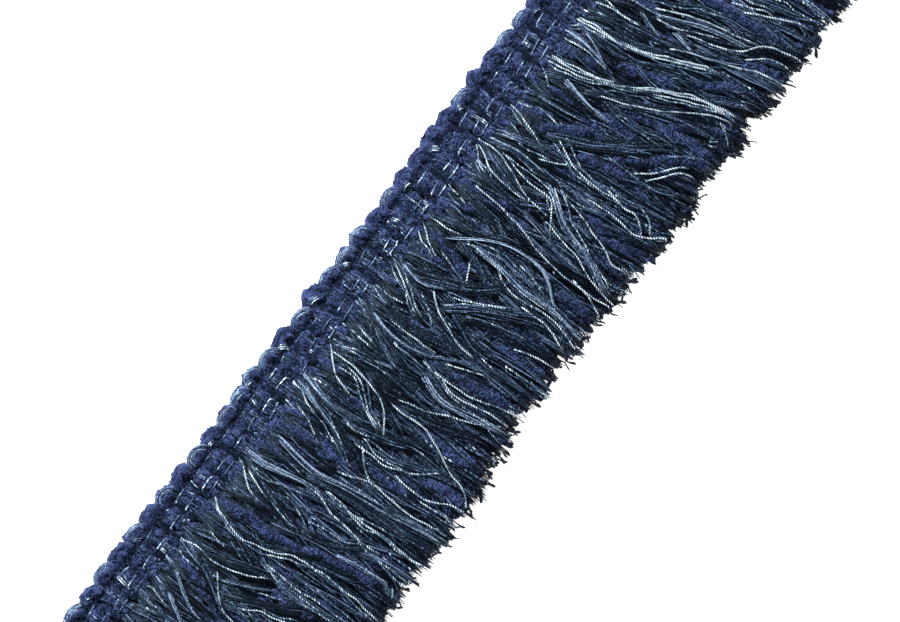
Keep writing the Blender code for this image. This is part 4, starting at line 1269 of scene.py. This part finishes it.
def build_ground(bunch):
    """The yarns under the loops, side by side, which close the ground of the heading."""
    count = LOOP_COUNT * GROUND_PER_LOOP
    x = spaced(count, GROUND_RADIUS)
    top = CREST_Y - np.interp(x, CREST_X, CREST_DROP) - 2.2 * MM
    t = np.linspace(0.0, 1.0, 5)[None, :]
    y = top[:, None] + (FOOT_Y - 7.0 * MM - top[:, None]) * t
    across = np.broadcast_to(x[:, None], y.shape)
    height = np.broadcast_to(1.2 * MM + 0.4 * MM * rng.random((count, 1)), y.shape)
    line = np.stack([across, y, height], axis=2)
    # Their very dark tone is partly their own navy and partly painted shade under the loops
    sweep(bunch, line, GROUND_RADIUS, 5, rng.normal(-0.6, 0.2, (count, 1)))


# For each row of stitching, the share of its bars that show and how far a bar's ends turn down
BAR_ROWS = ((0.50, 0.7 * MM), (0.95, 1.0 * MM), (0.62, -0.5 * MM))
BAR_STATIONS = 18
BAR_UNDER_Z = 1.6 * MM


def build_bars(bunch):
    """Rows of thread that come up over each gathered bundle as a bar."""
    x = spaced(LOOP_COUNT * BAR_STATIONS, 1.0 * MM)
    place = (x + HALF_LENGTH) / LOOP_PITCH
    notch = np.round(place).astype(int)
    each = (LOOP_COUNT + 1,)
    for row, (often, turned) in zip(STITCH_ROWS, BAR_ROWS):
        phase = place - notch - rng.normal(0.07, 0.05, each)[notch]
        shown = (rng.random(each) < often)[notch]
        half = rng.uniform(0.33, 0.44, each)[notch]
        over = smooth((half - np.abs(phase)) / 0.10) * np.where(shown, 1.0, 0.6)
        tilt = rng.normal(0.0, 0.25 * MM, each)[notch]
        slope = rng.normal(0.5, 0.45, each)[notch] * MM
        corner = turned * rng.uniform(0.2, 1.2, each)[notch] * smooth((np.abs(phase) - 0.27) / 0.09)
        y = row_y(row, x) + tilt + slope * phase - corner
        line = np.column_stack([x, y, BAR_UNDER_Z + (STITCH_Z - BAR_UNDER_Z) * over])
        bright_side = rng.uniform(-0.8, 0.8, each)[notch] * phase
        tone = rng.uniform(0.25, 0.66, each)[notch] + bright_side + rng.normal(0.0, 0.2, len(x))
        sweep(bunch, line[None], STITCH_RADIUS * (1.0 + 0.8 * bright_side[None]), 4, tone[None])


# Short pale yarns that cross the loops: the x and y of the middle, the length, the fall to the right in
# degrees and how many lie side by side
Stroke = namedtuple("Stroke", "x y length fall count")
STROKES = [Stroke(*row) for row in [
    (-130.0, 34.0, 3.0, 20, 1), (-108.0, 33.5, 3.5, 40, 2), (-93.0, 34.5, 3.0, 0, 2),
    (-77.4, 35.8, 3.0, 10, 1), (-72.8, 32.7, 2.2, 0, 1), (-57.3, 34.8, 6.5, 0, 2),
    (-52.0, 34.6, 4.0, 5, 1), (-37.7, 33.2, 3.5, 50, 2), (-21.3, 34.4, 5.0, 15, 2),
    (-7.8, 32.9, 2.4, 35, 2), (21.1, 33.4, 3.5, 0, 2), (34.6, 33.2, 3.2, 50, 2),
    (48.5, 34.4, 1.8, 20, 2), (70.0, 33.6, 3.0, 30, 2), (84.0, 34.0, 3.5, 10, 1),
]]


# Upright pale yarns between the rows of stitching: beside, on and beside each bundle
UPRIGHT_PLACES = (-2.1 * MM, -0.2 * MM, 1.8 * MM)
UPRIGHT_CHANCE = 0.38
UPRIGHT_SINK = 0.15 * MM
STRAND_GAP = 0.60 * MM
# Shares of a strand's length from its middle, and its height there
STRAND_SHARES = np.linspace(-0.5, 0.5, 9)
STRAND_Z = STITCH_Z + (1.3 * np.cos(np.pi * STRAND_SHARES) - 0.75) * MM


def add_strand(bunch, x, y, z, tone):
    """One fine silky strand, uneven in brightness along its length."""
    tones = tone + rng.normal(0.0, 0.18, (1, len(x)))
    sweep(bunch, np.column_stack([x, y, z])[None], rng.uniform(0.11, 0.17) * MM, 4, tones)


def build_strokes(bunch):
    """The pale yarns that cross the loops."""
    t = STRAND_SHARES
    for stroke in STROKES:
        fall = math.radians(stroke.fall)
        for number in range(stroke.count + 1):
            aside = STRAND_GAP * (number - 0.5 * stroke.count)
            length = stroke.length * MM * rng.uniform(0.65, 1.1)
            x = stroke.x * MM + length * t * math.cos(fall) + aside * math.sin(fall)
            y = stroke.y * MM - length * t * math.sin(fall) + aside * math.cos(fall)
            y = y + 0.4 * MM * np.cos(np.pi * t)
            add_strand(bunch, x, y, STRAND_Z, rng.uniform(0.42, 0.83))


def build_uprights(bunch):
    """The pale yarns that stand upright between the rows of stitching."""
    for notch in range(1, LOOP_COUNT):
        middle = -HALF_LENGTH + (notch + 0.07) * LOOP_PITCH
        for upper, lower in zip(STITCH_ROWS, STITCH_ROWS[1:]):
            for place in UPRIGHT_PLACES:
                if rng.random() <= UPRIGHT_CHANCE:
                    add_upright(bunch, row_y(upper, middle), lower - upper, middle + place)


def add_upright(bunch, row, gap, place):
    """One to three strands side by side, from a row of stitching down over part of the gap to the next."""
    t = STRAND_SHARES
    top = row - rng.uniform(0.0, 0.8) * MM
    length = gap * rng.uniform(0.5, 0.95)
    foot_x = place + rng.normal(0.0, 0.3 * MM)
    lean = rng.normal(0.0, 0.5 * MM)
    tone = rng.uniform(0.15, 0.83)
    for number in range(rng.choice([1, 2, 3], p=[0.40, 0.50, 0.10])):
        x = foot_x + STRAND_GAP * number + lean * t
        y = top - length * (t + 0.5) + rng.uniform(-0.2, 0.2) * MM
        add_strand(bunch, x, y, STRAND_Z - UPRIGHT_SINK, tone + rng.normal(0.0, 0.1))


# Materials

# Stops of each colour ramp over the tone: position and colour
NAVY_RAMP = [(0.0, (0.0001, 0.0003, 0.0011)), (0.3, (0.0019, 0.0035, 0.0094)),
             (0.65, (0.0116, 0.0198, 0.0460)), (1.0, (0.078, 0.114, 0.194))]
PALE_RAMP = [(0.0, (0.003, 0.006, 0.016)), (0.5, (0.044, 0.070, 0.122)), (1.0, (0.220, 0.300, 0.410))]
LIGHT_RAMP = [(0.0, (0.002, 0.007, 0.020)), (0.35, (0.014, 0.032, 0.070)),
              (0.7, (0.074, 0.128, 0.202)), (1.0, (0.520, 0.630, 0.700))]
CHENILLE_RAMP = [(0.0, (0.0002, 0.0004, 0.0016)), (0.5, (0.0027, 0.0040, 0.0128)),
                 (1.0, (0.038, 0.053, 0.142))]
# Painted shade: the colour that the grooves of plied yarns are mixed towards
PAINTED_GROOVE_SHADE = (0.002, 0.006, 0.018)
# Painted shade: the colour that the dips of the chenille pile are mixed towards
PAINTED_PILE_SHADE = (0.0002, 0.0005, 0.0022)


class Nodes:
    """A material's node tree, with short calls to add and link its nodes."""

    def __init__(self, name):
        self.material = bpy.data.materials.new(name)
        self.material.use_nodes = True
        self.tree = self.material.node_tree
        self.shader = self.tree.nodes["Principled BSDF"]

    def add(self, kind, **inputs):
        node = self.tree.nodes.new(kind)
        for name, value in inputs.items():
            node.inputs[name].default_value = value
        return node

    def link(self, output, target):
        self.tree.links.new(output, target)

    def value(self, name):
        node = self.add("ShaderNodeAttribute")
        node.attribute_name = name
        return node.outputs["Fac"]

    def ramp(self, factor, stops):
        node = self.add("ShaderNodeValToRGB")
        elements = node.color_ramp.elements
        for _ in range(len(stops) - 2):
            elements.new(0.5)
        for element, (position, colour) in zip(elements, stops):
            element.position = position
            element.color = (*colour, 1.0)
        self.link(factor, node.inputs["Fac"])
        return node.outputs["Color"]

    def maths(self, operation, first, second):
        node = self.add("ShaderNodeMath")
        node.operation = operation
        for socket, value in zip(node.inputs, (first, second)):
            if isinstance(value, (int, float)):
                socket.default_value = value
            else:
                self.link(value, socket)
        return node.outputs["Value"]

    def noise(self, scale, detail=2.0):
        place = self.add("ShaderNodeTexCoord")
        node = self.add("ShaderNodeTexNoise", Scale=scale, Detail=detail)
        self.link(place.outputs["Object"], node.inputs["Vector"])
        return node.outputs["Fac"]

    def streak(self, scale, amount, detail=2.0):
        """Noise about zero, up to half of amount either way."""
        return self.maths("MULTIPLY", self.maths("SUBTRACT", self.noise(scale, detail), 0.5), amount)

    def mix(self, factor, first, second):
        node = self.add("ShaderNodeMix")
        node.data_type = "RGBA"
        self.link(factor, node.inputs["Factor"])
        for name, value in (("A", first), ("B", second)):
            socket = [s for s in node.inputs if s.name == name and s.type == "RGBA"][0]
            if isinstance(value, tuple):
                socket.default_value = (*value, 1.0)
            else:
                self.link(value, socket)
        return [s for s in node.outputs if s.type == "RGBA"][0]

    def bump(self, height, strength, distance):
        node = self.add("ShaderNodeBump", Strength=strength, Distance=distance)
        self.link(height, node.inputs["Height"])
        self.link(node.outputs["Normal"], self.shader.inputs["Normal"])

    def settings(self, **values):
        for name, value in values.items():
            self.shader.inputs[name.replace("_", " ")].default_value = value


def filament_material(name, ramp):
    """Fine soft filaments: darker and paler ones side by side, with a silky sheen."""
    nodes = Nodes(name)
    tone = nodes.maths("ADD", nodes.value("tone"), nodes.streak(2400.0, 3.8))
    nodes.link(nodes.ramp(tone, ramp), nodes.shader.inputs["Base Color"])
    nodes.bump(nodes.noise(4000.0), 0.5, 0.0002)
    nodes.settings(Roughness=0.42, Specular_IOR_Level=0.24, Specular_Tint=(0.5, 0.75, 1.0, 1.0))
    return nodes.material


def light_material():
    """Pale two-ply yarn: bright on the plies, with painted shade in the groove between them."""
    nodes = Nodes("light_yarn_plies")
    tone = nodes.maths("ADD", nodes.value("tone"), nodes.streak(900.0, 1.4))
    tone = nodes.maths("ADD", tone, nodes.streak(190.0, 1.2))
    # the groove value mixes in painted shade between the plies
    colour = nodes.mix(nodes.value("groove"), nodes.ramp(tone, LIGHT_RAMP), PAINTED_GROOVE_SHADE)
    nodes.link(colour, nodes.shader.inputs["Base Color"])
    nodes.bump(nodes.noise(5000.0), 0.4, 0.0002)
    nodes.settings(Roughness=0.3, Specular_IOR_Level=0.8, Specular_Tint=(0.6, 0.82, 1.0, 1.0))
    return nodes.material


def chenille_material():
    """Soft royal-blue pile: mottled, with painted shade between the tufts."""
    nodes = Nodes("chenille_pile")
    patches = nodes.maths("ADD", nodes.value("tone"), nodes.streak(700.0, 2.0))
    tone = nodes.maths("ADD", patches, nodes.streak(2300.0, 7.0, 0.3))
    # the groove value mixes in painted shade between the tufts
    pile_shade_share = nodes.maths("MULTIPLY", nodes.value("groove"), 0.8)
    colour = nodes.mix(pile_shade_share, nodes.ramp(tone, CHENILLE_RAMP), PAINTED_PILE_SHADE)
    nodes.link(colour, nodes.shader.inputs["Base Color"])
    nodes.bump(nodes.noise(3400.0), 1.0, 0.0005)
    nodes.settings(Roughness=0.8, Specular_IOR_Level=0.15, Sheen_Weight=0.12, Sheen_Roughness=0.4)
    nodes.settings(Sheen_Tint=(0.35, 0.5, 1.0, 1.0), Specular_Tint=(0.35, 0.55, 1.0, 1.0))
    return nodes.material


# Stage

# The camera looks straight down. VIEW_WIDTH is what it sees from side to side at the height VIEW_Z.
TRIM_ANGLE = 52.7
VIEW_WIDTH = 261.0 * MM
VIEW_CENTRE_Y = 1.2 * MM
VIEW_Z = 4.0 * MM
LENS = 100.0
SENSOR = 36.0
FLOOR_REACH = 3.0
STUDIO_LIGHT = 0.32
CLIP_START = 0.05
# Where each light stands, in metres to the right of and above the picture's middle and over the floor
AreaLight = namedtuple("AreaLight", "name right up height size power")
AREA_LIGHTS = (AreaLight("key", -0.55, 0.75, 0.95, 0.20, 72.0), AreaLight("fill", 0.8, -0.3, 1.1, 0.9, 6.6))


def build_floor():
    mesh = bpy.data.meshes.new("floor")
    corners = [(-FLOOR_REACH, -FLOOR_REACH, 0), (FLOOR_REACH, -FLOOR_REACH, 0)]
    corners += [(FLOOR_REACH, FLOOR_REACH, 0), (-FLOOR_REACH, FLOOR_REACH, 0)]
    mesh.from_pydata(corners, [], [(0, 1, 2, 3)])
    nodes = Nodes("white_floor")
    nodes.settings(Base_Color=(0.9, 0.9, 0.9, 1.0))
    nodes.settings(Emission_Color=(1.0, 1.0, 1.0, 1.0), Emission_Strength=0.75)
    mesh.materials.append(nodes.material)
    put("floor", mesh)


def add_area_light(name, place, size, power):
    light = bpy.data.lights.new(name, "AREA")
    light.size = size
    light.energy = power
    holder = put(name, light)
    holder.location = place
    holder.rotation_euler = Vector(-place).to_track_quat("-Z", "Y").to_euler()


def build_stage():
    build_floor()
    turn = math.radians(-TRIM_ANGLE)
    right = np.array([math.cos(turn), math.sin(turn), 0.0])
    up = np.array([-math.sin(turn), math.cos(turn), 0.0])
    for light in AREA_LIGHTS:
        place = light.right * right + light.up * up + (0, 0, light.height)
        add_area_light(light.name, place, light.size, light.power)
    world = bpy.data.worlds.new("studio")
    world.use_nodes = True
    background = world.node_tree.nodes["Background"]
    background.inputs["Color"].default_value = (1.0, 1.0, 1.0, 1.0)
    background.inputs["Strength"].default_value = STUDIO_LIGHT
    bpy.context.scene.world = world
    bpy.context.scene.view_settings.view_transform = "Standard"


def build_camera():
    camera = bpy.data.cameras.new("camera")
    camera.lens = LENS
    camera.sensor_width = SENSOR
    camera.clip_start = CLIP_START
    holder = put("camera", camera)
    distance = VIEW_WIDTH * LENS / SENSOR
    holder.location = (0.0, VIEW_CENTRE_Y, distance + VIEW_Z)
    holder.rotation_euler = (0.0, 0.0, math.radians(-TRIM_ANGLE))
    bpy.context.scene.camera = holder


build_camera()
build_stage()
navy_material = filament_material("navy_filament", NAVY_RAMP)
pale_material = filament_material("silky_filament", PALE_RAMP)
chenille_pile_material = chenille_material()
light_yarn_material = light_material()

tiers = build_tiers()
dark_locks, pale_locks = Bunch(), Bunch()
build_locks(dark_locks, DARK_LOCKS, DARK_LOOK)
build_locks(pale_locks, PALE_LOCKS, PALE_LOOK)
build_locks(dark_locks, PALE_LOCKS, NAVY_IN_PALE_LOOK)
build_ends(dark_locks)
tiers["back"].build("navy_filaments_back", navy_material, "navy_yarn", ["skirt_navy_back"])
tiers["front"].build("navy_filaments_front", navy_material, "navy_yarn", ["skirt_navy_front"])
tiers["top"].build("navy_filaments_top", navy_material, "navy_yarn")
dark_locks.build("dark_locks", navy_material, "navy_yarn")
pale_locks.build("silky_locks", pale_material, "light_yarn")
build_chenille(chenille_pile_material)
build_light_yarns(light_yarn_material)
build_heading(navy_material, pale_material, chenille_pile_material, light_yarn_material)
